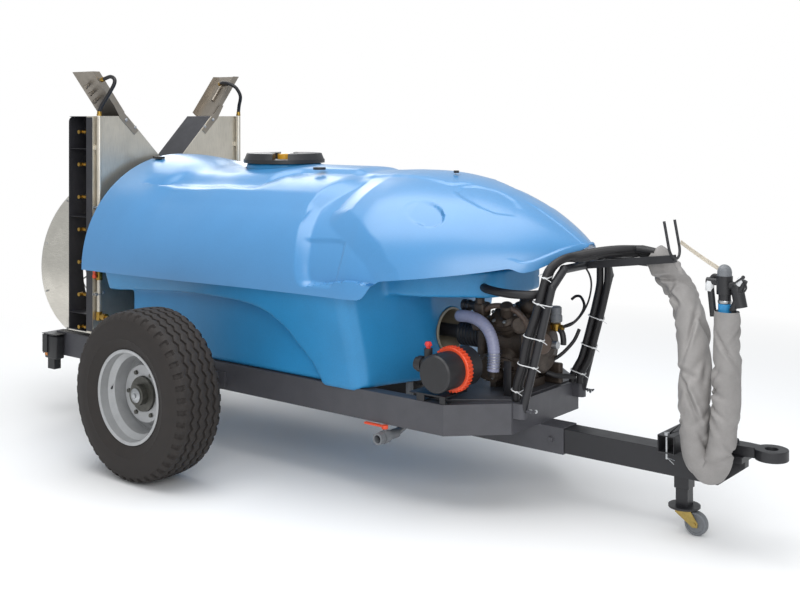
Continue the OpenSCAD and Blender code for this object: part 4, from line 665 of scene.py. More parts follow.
class SPRAYER_OT_hood(bpy.types.Operator):
    """Moulded hood with its ribs, pockets and bosses"""
    bl_idname = "sprayer.hood"
    bl_label = "Hood"
    bl_options = {"REGISTER", "UNDO"}

    def execute(self, context):
        obj = sheet_grid("hood_shell", hood_grid())
        outward_up(obj)
        modify(obj, "SOLIDIFY", thickness=sizes().hood_skin, offset=-1.0)
        hole = turned("hood_hole", [(194, 0), (194, 200)], at(FILLER_X, 0, 1300), sides=64)
        modify(obj, "BOOLEAN", operation="DIFFERENCE", object=hole, solver="MANIFOLD")
        bpy.data.objects.remove(hole)
        smooth(obj, 40)
        paint(obj, "hood")
        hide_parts("tank_hood")
        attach(obj, "chassis")
        return {"FINISHED"}


def outward_up(obj):
    """Turns an open sheet's faces so that most of them look up."""
    lifted = sum(p.normal.z * p.area for p in obj.data.polygons)
    if lifted < 0:
        obj.data.flip_normals()


# ---- Tank --------------------------------------------------------------------------------
ARCH = [(-620, 290), (-480, 302), (-300, 314), (0, 330), (250, 323), (405, 300), (517, 239), (591, 159),
        (669, 69), (715, -20)]


def tank_ring(x, k, g):
    """Closed section of the tank at x: g draws it in and k narrows it."""
    a, b, f, e, c = (482 - g) * k, (590 - g) * k, DECK - 24 + g, DECK + 430, DECK + 880 - g
    r = min(42, a * 0.6)
    half = [(-a + r - r * math.sin(t), f + r - r * math.cos(t)) for t in np.linspace(0, math.pi / 2, 8)]
    half += [(-(a + (b - a) * q), DECK + 60 + 370 * q) for q in (0.12, 0.3, 0.5, 0.7, 0.88)]
    half += [(-b * math.cos(t), e + (c - e) * math.sin(t)) for t in np.linspace(0, math.pi / 2, 24)[:-1]]
    full = half + [(0, c)] + [(-y, z) for y, z in reversed(half)]
    return [(x, y, z) for y, z in full]


def plate(name, outline, shift):
    """A plate: an outline of places in millimetres, extruded by the shift in millimetres."""
    only()
    bpy.ops.mesh.primitive_circle_add(vertices=len(outline), radius=1, fill_type="NGON")
    obj = bpy.context.object
    for v, place in zip(obj.data.vertices, outline):
        v.co = at(*place)
    bpy.ops.object.mode_set(mode="EDIT")
    bpy.ops.mesh.select_all(action="SELECT")
    bpy.ops.mesh.extrude_region_move(TRANSFORM_OT_translate={"value": [c / 1000 for c in shift]})
    bpy.ops.object.mode_set(mode="OBJECT")
    settle(obj, name)
    return outward(obj)


def prism(name, outline, y0, y1):
    """A plate whose outline is given as (ahead, height), from y0 to y1."""
    return plate(name, [(x, y0, z) for x, z in outline], (0, y1 - y0, 0))


def floor_plate(name, plan, z0, z1):
    """A plate whose plan is given as (ahead, left), from height z0 to z1."""
    return plate(name, [(x, y, z0) for x, y in plan], (0, 0, z1 - z0))


def carve(obj, *cutters, operation="DIFFERENCE"):
    """Cuts the cutters out of obj, or adds them to it, and removes them."""
    for cutter in cutters:
        modify(obj, "BOOLEAN", operation=operation, object=cutter, solver="EXACT")
        bpy.data.objects.remove(cutter)
    return obj


class SPRAYER_OT_tank(bpy.types.Operator):
    """Moulded tank with its wheel arches, shaft tunnel and filler neck"""
    bl_idname = "sprayer.tank"
    bl_label = "Tank"
    bl_options = {"REGISTER", "UNDO"}

    def execute(self, context):
        rows = [(-710, 1, 26), (-706, 1, 16), (-700, 1, 9), (-682, 1, 0), (-400, 1, 0), (0, 1, 0), (400, 1, 0),
                (760, 1, 0), (880, 1, 0), (920, 0.985, 2), (950, 0.93, 5), (978, 0.74, 9), (1017, 0.52, 13),
                (1049, 0.36, 18), (1062, 0.27, 28)]
        rings = np.array([ring + ring[:1] for ring in (tank_ring(*row) for row in rows)])
        obj = outward(sheet_grid("tank_shell", rings), 0.0001)
        close_holes(obj)
        arch = spline([(x, DECK + z, 0) for x, z in ARCH], 4)[:, :2]
        outline = [(-800, DECK - 60), (-800, DECK + 284), *[tuple(p) for p in arch], (715, DECK - 60)]
        carve(obj, prism("arch_right", outline, -700, -454), prism("arch_left", outline, 454, 700),
              block("rear_cut", (-800, -600, DECK - 60), (-620, 600, DECK + 284), 0),
              block("floor_cut", (-800, -464.3, DECK - 80), (1100, 464.3, DECK), 0),
              turned("tunnel", [(100, 0), (100, 1900)], at(-780, 0, SHAFT), (1, 0, 0), 64))
        side = [(940, 380), (1000, 382), (1080, 376), (1180, 348), (1262, 300), (1330, 246), (1395, 212), (1420, 180),
                (1432, 120)]
        plan = [(x, -y) for x, y in side] + side[::-1]
        carve(obj, floor_plate("nose", plan, DECK + 402, DECK + 520), operation="UNION")
        carve(obj, turned("neck", [(190, 0), (190, 54)], at(FILLER_X, 0, DECK + 880), sides=96), operation="UNION")
        modify(obj, "REMESH", mode="VOXEL", voxel_size=sizes().tank_cell)
        modify(obj, "SMOOTH", factor=0.5, iterations=9)
        carve(obj, turned("neck_bore", [(171, 0), (171, 300)], at(FILLER_X, 0, DECK + 730), sides=96))
        smooth(obj, 50)
        paint(obj, "tank")
        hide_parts("tank_body")
        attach(obj, "chassis")
        return {"FINISHED"}


# ---- Tyres -------------------------------------------------------------------------------
# Across the tread: (place in mm, share of the zigzag, depth of the groove)
TREAD = []
for middle in (-62, -22, 22, 62):
    TREAD += [(middle - 10, 1, 0), (middle - 7, 1, 1.5), (middle - 5, 1, 10), (middle + 5, 1, 10),
              (middle + 7, 1, 1.5), (middle + 10, 1, 0)]
TREAD = [(-97, 0, 0), (-90, 0.3, 0)] + TREAD + [(90, 0.3, 0), (97, 0, 0)]
CROWN = [(380, 0), (379.4, 40), (377.5, 72), (374, 97)]
SIDEWALL = [(372, 103), (366, 111), (356, 118), (349, 121), (345, 123.5), (341, 123.5), (326, 127), (310, 130.6),
            (285, 132), (268, 130.5), (262, 131.6), (256, 127), (240, 121), (226, 112.5), (218, 109.2),
            (212.5, 104), (201, 103.9)]


def tyre(name, s, body):
    """Implement tyre: zigzag ribs with shoulder lugs, and a ringed sidewall."""
    pitches, steps = sizes().tread_pitch, 12
    turn = np.linspace(0, 2 * np.pi, pitches * steps + 1)
    zig = 7.0 * (2 / np.pi) * np.arcsin(np.sin(turn * pitches))
    columns = []
    for r, y in reversed([(r, -y) for r, y in SIDEWALL]):
        columns.append((np.full(turn.shape, float(r)), np.full(turn.shape, float(y))))
    for y, share, depth in TREAD:
        place = y + zig * share
        crown = np.interp(np.abs(place), [p[1] for p in CROWN], [p[0] for p in CROWN])
        columns.append((crown - depth, place))
    for r, y in SIDEWALL:
        columns.append((np.full(turn.shape, float(r)), np.full(turn.shape, float(y))))
    # Shoulder lugs: blocks cut between the outermost groove and the sidewall
    lug = ease(-0.45, -0.05, np.sin(turn * pitches)) - 1
    points = np.zeros((len(turn), len(columns), 3))
    middle = s * WHEEL_Y
    for i, (r, y) in enumerate(columns):
        side = np.abs(y).mean()
        cut = 11.0 if 92 < side < 119 and r.mean() > 352 else 0.0
        radius = r + lug * cut
        points[:, i] = np.stack([radius * np.cos(turn), middle + y, WHEEL_Z + radius * np.sin(turn)], -1)
    obj = outward(sheet_grid(name, points), 0.00005)
    only(obj)
    bpy.ops.object.mode_set(mode="EDIT")
    bpy.ops.mesh.select_all(action="DESELECT")
    bpy.ops.mesh.select_non_manifold()
    bpy.ops.mesh.bridge_edge_loops()
    bpy.ops.object.mode_set(mode="OBJECT")
    outward(obj)
    smooth(obj, 38)
    paint(obj, "rubber")
    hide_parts("tyre_" + ("right" if s < 0 else "left"))
    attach(obj, body)


class SPRAYER_OT_tyres(bpy.types.Operator):
    """Both implement tyres, each with its own mesh"""
    bl_idname = "sprayer.tyres"
    bl_label = "Tyres"
    bl_options = {"REGISTER", "UNDO"}

    def execute(self, context):
        for side, s in SIDES:
            tyre(f"tyre_tread_{side}", s, f"wheel_{side}")
        return {"FINISHED"}


# ---- Hoses and the sleeve ----------------------------------------------------------------
# Middle of each pair of hoses as it rises from the deck, then each hose over the support
RISE = {-1: [(1556, -210, 5), (1558, -214, 40), (1572, -228, 81), (1607, -245, 159), (1620, -247, 222),
             (1640, -247, 288), (1665, -247, 352), (1689, -247, 427), (1704, -241, 485),
             (1718, -222, 552), (1745, -170, 590)],
        1: [(1592, 202, 5), (1596, 202, 40), (1616, 205, 80), (1636, 208, 120), (1662, 208, 205), (1686, 208, 290),
            (1708, 208, 375), (1726, 204, 450), (1742, 178, 540)]}
APART = {-1: (-3.0, 18.5), 1: (-16.4, -3.0)}
TOPS = {"right_outer": [(1776, -120, 604), (1850, -66, 622), (1910, -18, 630), (1950, 22, 630), (1968, 44, 628),
                        (2046, 46, 622)],
        "right_inner": [(1790, -88, 590), (1860, -22, 610), (1910, 22, 608), (1950, 60, 608), (1968, 78, 608),
                        (2046, 78, 600)],
        "left_outer": [(1776, 134, 600), (1850, 124, 610), (1905, 114, 618), (1950, 110, 622), (1968, 108, 622),
                       (2046, 104, 612)],
        "left_inner": [(1770, 108, 578), (1800, 92, 588), (1860, 80, 582), (1905, 76, 576), (1968, 73, 574),
                       (2046, 72, 572)]}


def hose_route(side, which):
    """The whole route of one pressure hose, over the deck."""
    s = -1 if side == "right" else 1
    k = -1 if which == "outer" else 1
    dx, dy = APART[s]
    rise = [(x + k * dx, y + k * dy, z) for x, y, z in RISE[s]]
    return rise + TOPS[f"{side}_{which}"]


SLEEVE = [(2026, 78, 606), (2048, 78, 590), (2074, 78, 553), (2113, 76, 508), (2152, 70, 468), (2194, 38, 392),
          (2227, -4, 313), (2254, -46, 236), (2276, -84, 160), (2287, -110, 80), (2290, -118, -10), (2292, -120, -80),
          (2306, -121, -128), (2340, -120, -154), (2372, -119, -130), (2388, -117, -70), (2398, -113, 0),
          (2404, -104, 100), (2404, -96, 220), (2404, -91, 340), (2404, -90, 440)]
SLEEVE_R = [50, 54, 56, 58, 58, 60, 60, 59, 58, 57, 56, 55, 53, 52, 50, 49, 51, 53, 50, 47, 46]


# The sleeve's slack folds, and the places where the hoses push it out
FOLD_SEED, FOLDS, BULGES = 11, 58, 9


def over_deck(points):
    """The same places, with their height counted from the ground instead of the deck."""
    return [(x, y, DECK + z) for x, y, z in points]


class SPRAYER_OT_hoses(bpy.types.Operator):
    """The two pressure hoses of each side, from the tray over the support into the sleeve"""
    bl_idname = "sprayer.hoses"
    bl_label = "Pressure hoses"
    bl_options = {"REGISTER", "UNDO"}

    def execute(self, context):
        r = sizes().hose * 1000
        for side, _ in SIDES:
            parts = [pipe(f"hose_{side}_{which}", over_deck(hose_route(side, which)), r, 6, 4)
                     for which in ("outer", "inner")]
            obj = join(f"pressure_hoses_{side}", *parts)
            paint(obj, "hose")
            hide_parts(f"hoses_{side}")
            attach(obj, "chassis")
        return {"FINISHED"}


def creases(run, turn, size):
    """Slack folds over the sleeve in mm: each a valley with a ridge beside it, short, long or slanting."""
    rng = np.random.default_rng(FOLD_SEED)
    total = run[-1]
    lift = np.zeros((len(run), len(turn)))
    for _ in range(FOLDS):
        s0, a0 = rng.uniform(30, total - 40), rng.uniform(0, 2 * np.pi)
        tilt, long = rng.uniform(-1.35, 1.35), rng.uniform(40, 130)
        wide, deep = rng.uniform(7, 15), rng.uniform(6, 14)
        du = (run - s0)[:, None]
        dw = (size[:, None] * (np.mod(turn[None] - a0 + np.pi, 2 * np.pi) - np.pi))
        p, q = du * math.cos(tilt) + dw * math.sin(tilt), -du * math.sin(tilt) + dw * math.cos(tilt)
        far = np.exp(-(p / long) ** 2)
        lift += far * deep * (0.55 * np.exp(-((q - 1.7 * wide) / wide) ** 2) - np.exp(-(q / wide) ** 2))
    for _ in range(BULGES):
        s0, a0 = rng.uniform(80, total - 90), rng.uniform(0, 2 * np.pi)
        wide, high = rng.uniform(40, 75), rng.uniform(3, 8)
        dw = size[:, None] * (np.mod(turn[None] - a0 + np.pi, 2 * np.pi) - np.pi)
        lift += high * np.exp(-((run - s0)[:, None] ** 2 + dw ** 2) / wide ** 2)
    fade = np.clip(np.minimum(run / 50, (total - run) / 50), 0, 1)[:, None]
    return np.clip(lift, -19, 13) * fade


class SPRAYER_OT_sleeve(bpy.types.Operator):
    """Cloth sleeve over the hoses, hung in a loop, with its slack folds and gathered ends"""
    bl_idname = "sprayer.sleeve"
    bl_label = "Hose sleeve"
    bl_options = {"REGISTER", "UNDO"}

    def execute(self, context):
        steps, count = 14, 104
        line = spline(over_deck(SLEEVE), steps)
        size = np.interp(np.arange(len(line)) / steps, np.arange(len(SLEEVE_R)), SLEEVE_R)
        turn = np.linspace(0, 2 * np.pi, count + 1)
        run = np.concatenate([[0], np.cumsum(np.linalg.norm(np.diff(line, axis=0), axis=1))])
        lift = creases(run, turn, size)
        points = np.zeros((len(line), count + 1, 3))
        for i, p in enumerate(line):
            d = line[min(i + 1, len(line) - 1)] - line[max(i - 1, 0)]
            d /= np.linalg.norm(d)
            u = np.cross(d, np.cross((0.25, 1, 0.1), d))
            u /= np.linalg.norm(u)
            v = np.cross(u, d)
            oval = 0.035 * np.cos(2 * turn - run[i] / 90 + 1) + 0.02 * np.cos(3 * turn + run[i] / 120)
            r = size[i] * (1 + oval) + lift[i]
            points[i] = p + r[:, None] * (u * np.cos(turn)[:, None] + v * np.sin(turn)[:, None])
        obj = outward(sheet_grid("hose_sleeve_cloth", points), 0.0001)
        modify(obj, "SOLIDIFY", thickness=sizes().cloth, offset=-1.0)
        smooth(obj, 60)
        paint(obj, "cloth")
        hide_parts("hose_sleeve")
        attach(obj, "chassis")
        return {"FINISHED"}


# ---- Ties, clips and small fittings ------------------------------------------------------
def around(middle, along, wide, deep, r, steps=28, across=(0.81, 0.59, 0)):
    """A band laid round something at right angles to its run, in millimetres."""
    d = np.array(along, float) / np.linalg.norm(along)
    u = np.array(across, float)
    u -= d * u.dot(d)
    u /= np.linalg.norm(u)
    v = np.cross(d, u)
    turn = np.linspace(0, 2 * np.pi, steps + 1)
    return [tuple(np.array(middle) + wide * math.cos(t) * u + deep * math.sin(t) * v) for t in turn]


def wrapped(discs, gap=2.4, steps=20):
    """The tight loop round several discs (x, y, radius), as points in order."""
    dots = []
    for x, y, r in discs:
        for t in np.linspace(0, 2 * np.pi, steps, endpoint=False):
            dots.append((round(x + (r + gap) * math.cos(t), 4), round(y + (r + gap) * math.sin(t), 4)))
    dots = sorted(set(dots))
    loop = []
    for run in (dots, dots[::-1]):
        side = []
        for p in run:
            while len(side) > 1 and ((side[-1][0] - side[-2][0]) * (p[1] - side[-2][1])
                                     - (side[-1][1] - side[-2][1]) * (p[0] - side[-2][0])) <= 0:
                side.pop()
            side.append(p)
        loop += side[:-1]
    return loop + loop[:1]


class SPRAYER_OT_ties(bpy.types.Operator):
    """White cable ties that bind each pair of hoses to its post, with their heads and cut tails"""
    bl_idname = "sprayer.ties"
    bl_label = "Cable ties"
    bl_options = {"REGISTER", "UNDO"}

    def execute(self, context):
        parts = []
        for s, heights in ((-1, (33, 157, 272, 413, 520)), (1, (50, 174, 300))):
            side_name = "right" if s < 0 else "left"
            lines = [spline(over_deck(hose_route(side_name, which)), 10) for which in ("outer", "inner")]
            foot, knee = np.array([1592.0, s * 240, DECK - 60]), np.array([1736.0, s * 240, DECK + 482])
            d = (knee - foot) / np.linalg.norm(knee - foot)
            u = np.cross((0, 1.0, 0), d)
            u /= np.linalg.norm(u)
            v = np.cross(d, u)
            for h in heights:
                c = foot + d * (h + 60) / d[2]
                discs = [] if h < 100 or h > 470 else [(0, 0, 17.0)]
                for line in lines:
                    side = (line - c) @ d
                    i = int(np.argmin(abs(side[:60])))
                    p = line[i] - c
                    discs.append((p @ u, p @ v, sizes().hose * 1000 + 1.5))
                loop = [tuple(c + u * x + v * y) for x, y in wrapped(discs)]
                parts.append(pipe("tie", loop, sizes().tie * 1000, 1, 2))
                view = [p[0] * 0.62 - p[1] * 0.78 for p in loop]
                knot = np.array(loop[int(np.argmax(view))])
                parts.append(block("tie_head", knot - (4.5, 4.5, 3.5), knot + (4.5, 4.5, 3.5), 1))
                tail = [tuple(knot), tuple(knot + (14, 3, -6)), tuple(knot + (26, 10, -16))]
                parts.append(pipe("tie_tail", tail, 1.6, 2, 2))
        obj = join("cable_ties", *parts)
        paint(obj, "white")
        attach(obj, "chassis")
        return {"FINISHED"}


def bolt(size):
    """A hexagon head on its washer, standing on the origin along +Z."""
    profile = [(size * 0.95, 0), (size * 0.98, size * 0.1), (size * 0.98, size * 0.55), (size * 0.8, size * 0.66)]
    head = turned("bolt_head", profile, Vector((0, 0, size * 0.0002)), sides=6)
    washer = turned("washer", [(size * 1.25, 0), (size * 1.25, size * 0.22)], Vector((0, 0, 0)), sides=18)
    return join("bolt", head, washer)


class SPRAYER_OT_bolts(bpy.types.Operator):
    """Zinc-plated bolts of the frame, the clamps, the pump and the fan plate"""
    bl_idname = "sprayer.bolts"
    bl_label = "Bolts"
    bl_options = {"REGISTER", "UNDO"}

    def execute(self, context):
        one = bolt(sizes().bolt * 1000)
        spots = []
        for s in (-1, 1):
            spots += [((1632, s * 232, DECK - 28), (0.45, s * 0.89, 0), 0.8),
                      ((1650, s * 222, DECK - 29), (0.45, s * 0.89, 0), 0.8)]
            spots += [((-859, s * 309, 1608), (1, 0, 0), 1.0), ((-862.4, s * 249, 1567), (1, 0, 0), 1.0)]
            for h in (1152, 700):
                spots += [((-838, s * 514, h), (1, 0, 0), 0.8), ((-838, s * 472, h + 6), (1, 0, 0), 0.8)]
        for lean in (-40, 40, 140, 220):
            out = np.array([0, -math.sin(math.radians(lean)), math.cos(math.radians(lean))])
            side = np.array([0, math.cos(math.radians(lean)), math.sin(math.radians(lean))])
            for k in range(6):
                t = math.radians(60 * k + 30)
                ring = math.cos(t) * side + math.sin(t) * np.array([1, 0, 0])
                p = np.array([1420, 0, 660]) + out * 168 + 54 * ring
                spots.append((tuple(p), tuple(out), 0.9))
        parts = []
        for place, axis, scale in spots:
            stand = Matrix.Translation(at(*place)) @ aimed(axis) @ Matrix.Scale(scale, 4)
            parts.append(copy_of(one, "bolt_copy", stand))
        bpy.data.objects.remove(one)
        obj = join("frame_bolts", *parts)
        smooth(obj, 30)
        paint(obj, "zinc")
        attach(obj, "chassis")
        return {"FINISHED"}


def ribbed(name, route, r, pitch=11.0, rise=1.6, sides=24):
    """A wire-wound hose along a route, closed at its ends."""
    line = spline(route, 24)
    run = np.concatenate([[0], np.cumsum(np.linalg.norm(np.diff(line, axis=0), axis=1))])
    count = int(run[-1] / pitch * 4)
    s = np.linspace(0, run[-1], count)
    path = np.stack([np.interp(s, run, line[:, k]) for k in range(3)], -1)
    turn = np.linspace(0, 2 * np.pi, sides + 1)
    points = np.zeros((count + 2, sides + 1, 3))
    up = np.array([0.1, 1, 0.2])
    for i, p in enumerate(path):
        d = path[min(i + 1, count - 1)] - path[max(i - 1, 0)]
        d /= np.linalg.norm(d)
        u = np.cross(d, up)
        u /= np.linalg.norm(u)
        v = np.cross(u, d)
        radius = r - rise * (0.5 - 0.5 * math.cos(2 * math.pi * s[i] / pitch))
        points[i + 1] = p + radius * (u * np.cos(turn)[:, None] + v * np.sin(turn)[:, None])
    points[0] = path[0] + (points[1] - path[0]) * 0.8
    points[-1] = path[-1] + (points[-2] - path[-1]) * 0.8
    obj = outward(sheet_grid(name, points), 1e-5)
    return smooth(close_holes(obj), 50)


def tube_ring(name, profile, place, axis, sides=64):
    """A ring turned from a closed outline of (radius, height) in millimetres."""
    outline = np.array(profile + profile[:1], float)
    turn = np.linspace(0, 2 * np.pi, sides + 1)
    points = np.stack([outline[:, 0][None] * np.cos(turn)[:, None], outline[:, 0][None] * np.sin(turn)[:, None],
                       np.repeat(outline[:, 1][None], sides + 1, 0)], -1)
    points[:, :, 0] -= AXLE.x * 1000
    obj = outward(sheet_grid(name, points), 1e-5)
    obj.data.transform(Matrix.Translation(at(*place)) @ aimed(axis))
    return outward(obj)


class SPRAYER_OT_pump_bay(bpy.types.Operator):
    """Hoses, guard and fittings round the pump"""
    bl_idname = "sprayer.pump_bay"
    bl_label = "Pump bay"
    bl_options = {"REGISTER", "UNDO"}

    def execute(self, context):
        def keep(obj, material, angle=35):
            smooth(obj, angle)
            paint(obj, material)
            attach(obj, "chassis")

        # Suction hose with its wire ribs and clamp
        route = [(1222, -150, 762), (1256, -172, 768), (1306, -190, 771), (1361, -206, 764), (1402, -214, 742),
                 (1430, -220, 708), (1446, -224, 660), (1448, -226, 610), (1446, -228, 566)]
        hose = ribbed("suction_hose_wound", route, sizes().suction * 1000)
        keep(hose, "suction", 50)
        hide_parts("suction_hose")
        keep(join("suction_clamp", *[pipe("clamp", around((1448, -226, z), (0, 0, 1), 27.2, 27.2, 1), 1.6, 1, 2)
                                     for z in (640, 628, 617, 606, 594, 582)]),
             "zinc")
        # Return hose from the tank's nose
        route = [(1408, -240, 912), (1440, -262, 911), (1500, -280, 908), (1569, -280, 905), (1630, -262, 905),
                 (1664, -230, 906), (1686, -200, 910)]
        hose = pipe("return_hose_bent", route, sizes().back * 1000, 6, 4)
        keep(hose, "hose", 50)
        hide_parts("return_hose")
        # Ribbed guard over the coupling, and the light liner of the shaft tunnel
        ribs = [(47, 1128)]
        for i in range(9):
            x = 1130 + 17 * i
            ribs += [(54, x), (58, x + 4), (58, x + 9), (54, x + 13)]
        ribs += [(47, 1288)]
        keep(tube_ring("coupling_guard", [(r, x - 1128) for r, x in ribs], (1128, 0, SHAFT), (1, 0, 0), 40),
             "black_plastic", 40)
        keep(tube_ring("tunnel_liner", [(99, 0), (99, 360), (103, 362), (103, 368), (95, 368), (95, 0)],
                       (699, 0, SHAFT), (1, 0, 0), 72), "beige")
        # Side cover of the lower cylinder, with a ring of bolts
        keep(turned("cylinder_cover", [(50, 0), (52, 3), (52, 16), (46, 20), (44, 26), (20, 29), (8, 33)],
                    at(1386, -170, 562), (0.12, -1, -0.1), 40), "casting", 30)
        heads = [turned("b", [(6, 0), (6, 6), (4.6, 7.4)],
                        at(1388 + 45 * math.cos(t), -185, 561 + 45 * math.sin(t)), (0.12, -1, -0.1), 6)
                 for t in np.linspace(0, 2 * np.pi, 8)[:-1]]
        keep(join("cover_bolts", *heads), "zinc")
        # Rear of the crankcase, its cover and the feet
        keep(join("crankcase_rear",
                  turned("cc", [(60, 0), (108, 4), (112, 10), (112, 62), (100, 74), (60, 80), (40, 92)],
                         at(1478, 20, 640), (1, 0, 0), 48),
                  block("foot_a", (1440, -150, DECK + 6), (1560, -118, DECK + 96), 8, 3),
                  block("foot_b", (1440, 118, DECK + 6), (1560, 150, DECK + 96), 8, 3),
                  block("rib_a", (1300, -118, DECK + 60), (1540, -104, DECK + 150), 5, 2),
                  turned("rc2", [(34, 0), (36, 3), (36, 40), (28, 46)], at(1500, -100, 742), (0.4, -0.9, 0.3), 24),
                  turned("rc3", [(26, 0), (28, 3), (28, 50), (20, 56)], at(1452, -130, 790), (0.3, -0.6, 0.9), 24),
                  turned("rc4", [(30, 0), (32, 3), (32, 44), (24, 50)], at(1520, 40, 756), (0.2, 0, 1), 24)),
             "casting", 30)
        keep(turned("reduction_ring", [(42, 0), (45, 3), (45, 22), (39, 27), (30, 28)], at(1558, -40, 668),
                    (0.9, -0.42, 0.05), 40), "brown_rubber", 30)
        heads = [turned("b", [(7, 0), (7, 7), (5.4, 8.6)],
                        at(1540, 20 + 96 * math.cos(t), 640 + 96 * math.sin(t)), (1, 0, 0), 6)
                 for t in np.linspace(0.2, 2 * np.pi + 0.2, 11)[:-1]]
        keep(join("rear_bolts", *heads), "zinc")
        # Valve chambers across the heads, and the pipe that joins them
        bars = []
        for y, z in ((-132, 800), (-150, 742)):
            bars.append(block("chamber", (1300, y - 34, z - 30), (1352, y + 34, z + 30), 12, 3))
        bars.append(block("flange", (1288, -120, 596), (1326, -38, 760), 8, 3))
        bars.append(block("flange_rear", (1500, -116, 560), (1524, 116, 770), 14, 3))
        bars.append(turned("chamber_nut", [(20, 0), (20, 22), (16, 26)], at(1326, -150, 828), (0, 0, 1), 6))
        keep(join("pump_chambers", *bars), "casting", 30)
        route = [(1352, -140, 800), (1380, -146, 818), (1420, -150, 826), (1470, -150, 824), (1512, -146, 808),
                 (1540, -132, 776), (1548, -118, 740)]
        keep(pipe("chamber_pipe", route, 12, 6, 3), "brown_rubber", 50)
        keep(pipe("feed_pipe", [(1226, -128, 806), (1262, -126, 808), (1300, -124, 810)], 19, 4, 4),
             "black_plastic", 50)
        keep(join("feed_nuts", *[turned("nut", [(24, 0), (25, 2), (25, 14), (23, 16)], at(x, -126, 808), (1, 0, 0), 10)
                                 for x in (1222, 1246, 1282)]), "black_plastic", 30)
        # Mounting plate beside the pump
        keep(block("pump_bracket", (1476, -196, DECK + 6), (1512, -190, DECK + 150), 2), "black_steel")
        # Regulator: grey cap, brass body, levers and thin hoses
        keep(turned("regulator_cap", [(22, 0), (26, 4), (26, 26), (22, 34), (23, 38), (23, 62), (17, 68)],
                    at(1574, 66, 744)), "grey_plastic")
        keep(join("regulator_body", turned("rb", [(16, 0), (20, 4), (20, 30), (16, 34)], at(1574, 66, 706)),
                  turned("rc", [(13, 0), (13, 84)], at(1524, 66, 722), (1, 0, 0), 24),
                  turned("rd", [(18, 0), (18, 18)], at(1540, 66, 722), (1, 0, 0), 6),
                  turned("re", [(9, 0), (9, 40), (12, 41), (12, 54)], at(1534, 20, 690), (0.2, -1, 0.1), 24),
                  turned("rf", [(24, 0), (26, 4), (26, 26), (22, 30)], at(1526, 24, 600), (1, 0.2, 0), 8),
                  turned("rg", [(20, 0), (22, 4), (22, 30), (14, 40)], at(1526, -30, 640), (1, -0.1, 0), 8)),
             "brass", 30)
        keep(pipe("regulator_elbow", [(1586, 66, 716), (1604, 62, 702), (1612, 60, 676), (1612, 60, 652)], 13, 5, 3),
             "black_plastic", 50)
        thin = [pipe("loop_a", [(1598, 66, 724), (1637, 80, 738), (1663, 110, 772), (1668, 140, 812), (1641, 160, 845),
                                (1612, 168, 846), (1590, 168, 830)], 6, 8, 3),
                pipe("loop_b", [(1540, 84, 574), (1559, 90, 584), (1588, 110, 612), (1612, 150, 656),
                                (1622, 178, 702)], 8, 6, 3),
                pipe("loop_c", [(1719, -60, 1030), (1755, -40, 1018), (1768, 0, 978), (1758, 40, 919), (1712, 90, 834),
                                (1657, 104, 760), (1606, 80, 730)], 4, 8, 3),
                pipe("loop_d", [(1548, -60, 640), (1584, -76, 690), (1612, -96, 770), (1634, -118, 850),
                                (1660, -136, 920)], 9, 6, 3),
                pipe("loop_e", [(1524, 66, 520), (1560, 96, 506), (1588, 140, 500), (1600, 170, 492)], 11, 6, 3)]
        keep(join("thin_hoses", *thin), "hose", 50)
        return {"FINISHED"}


class SPRAYER_OT_filter(bpy.types.Operator):
    """Ring nut with fine teeth, and the drain knob"""
    bl_idname = "sprayer.filter"
    bl_label = "Filter ring and knob"
    bl_options = {"REGISTER", "UNDO"}

    def execute(self, context):
        low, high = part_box("filter_ring")
        z, x = (low.z + high.z) / 2 * 1000, (low.x + high.x) / 2 * 1000 - AXLE.x * 1000
        y0, y1 = low.y * 1000, high.y * 1000
        outer = (high.z - low.z) / 2 * 1000
        wide = y1 - y0
        inner = outer - 22
        ring = tube_ring("ring", [(inner, 0), (outer - 9, 0), (outer - 5, 3), (outer - 5, wide - 3), (outer - 9, wide),
                                  (inner, wide)], (x, y0, z), (0, 1, 0), 96)
        parts = [ring]
        tooth = block("tooth", (-3.4, -outer, 2), (3.4, -outer + 9, wide - 2), 2)
        for k in range(36):
            turn = Matrix.Rotation(math.radians(10 * k + 4), 4, "Z")
            parts.append(copy_of(tooth, "tooth_copy", Matrix.Translation(at(x, y0, z)) @ aimed((0, 1, 0)) @ turn
                                 @ Matrix.Translation((-AXLE.x, 0, 0))))
        bpy.data.objects.remove(tooth)
        obj = join("filter_ring_nut", *parts)
        smooth(obj, 30)
        paint(obj, "orange")
        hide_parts("filter_ring")
        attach(obj, "filter_ring")
        low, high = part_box("filter_knob")
        x, y = (low.x + high.x) / 2 * 1000 - AXLE.x * 1000, (low.y + high.y) / 2 * 1000
        z0, z1 = low.z * 1000, high.z * 1000
        stem = turned("kb", [(9, 0), (9, 6), (12, 8), (13, 12), (13, z1 - z0 - 3), (10, z1 - z0)],
                      at(x, y, z0), (0, 0, 1), 24)
        wing = block("kw", (x - 17, y - 4, z0 + 10), (x + 17, y + 4, z1 - 6), 2.5)
        knob = join("filter_drain_knob", stem, wing)
        smooth(knob, 30)
        paint(knob, "red")
        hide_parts("filter_knob")
        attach(knob, "filter_knob")
        return {"FINISHED"}


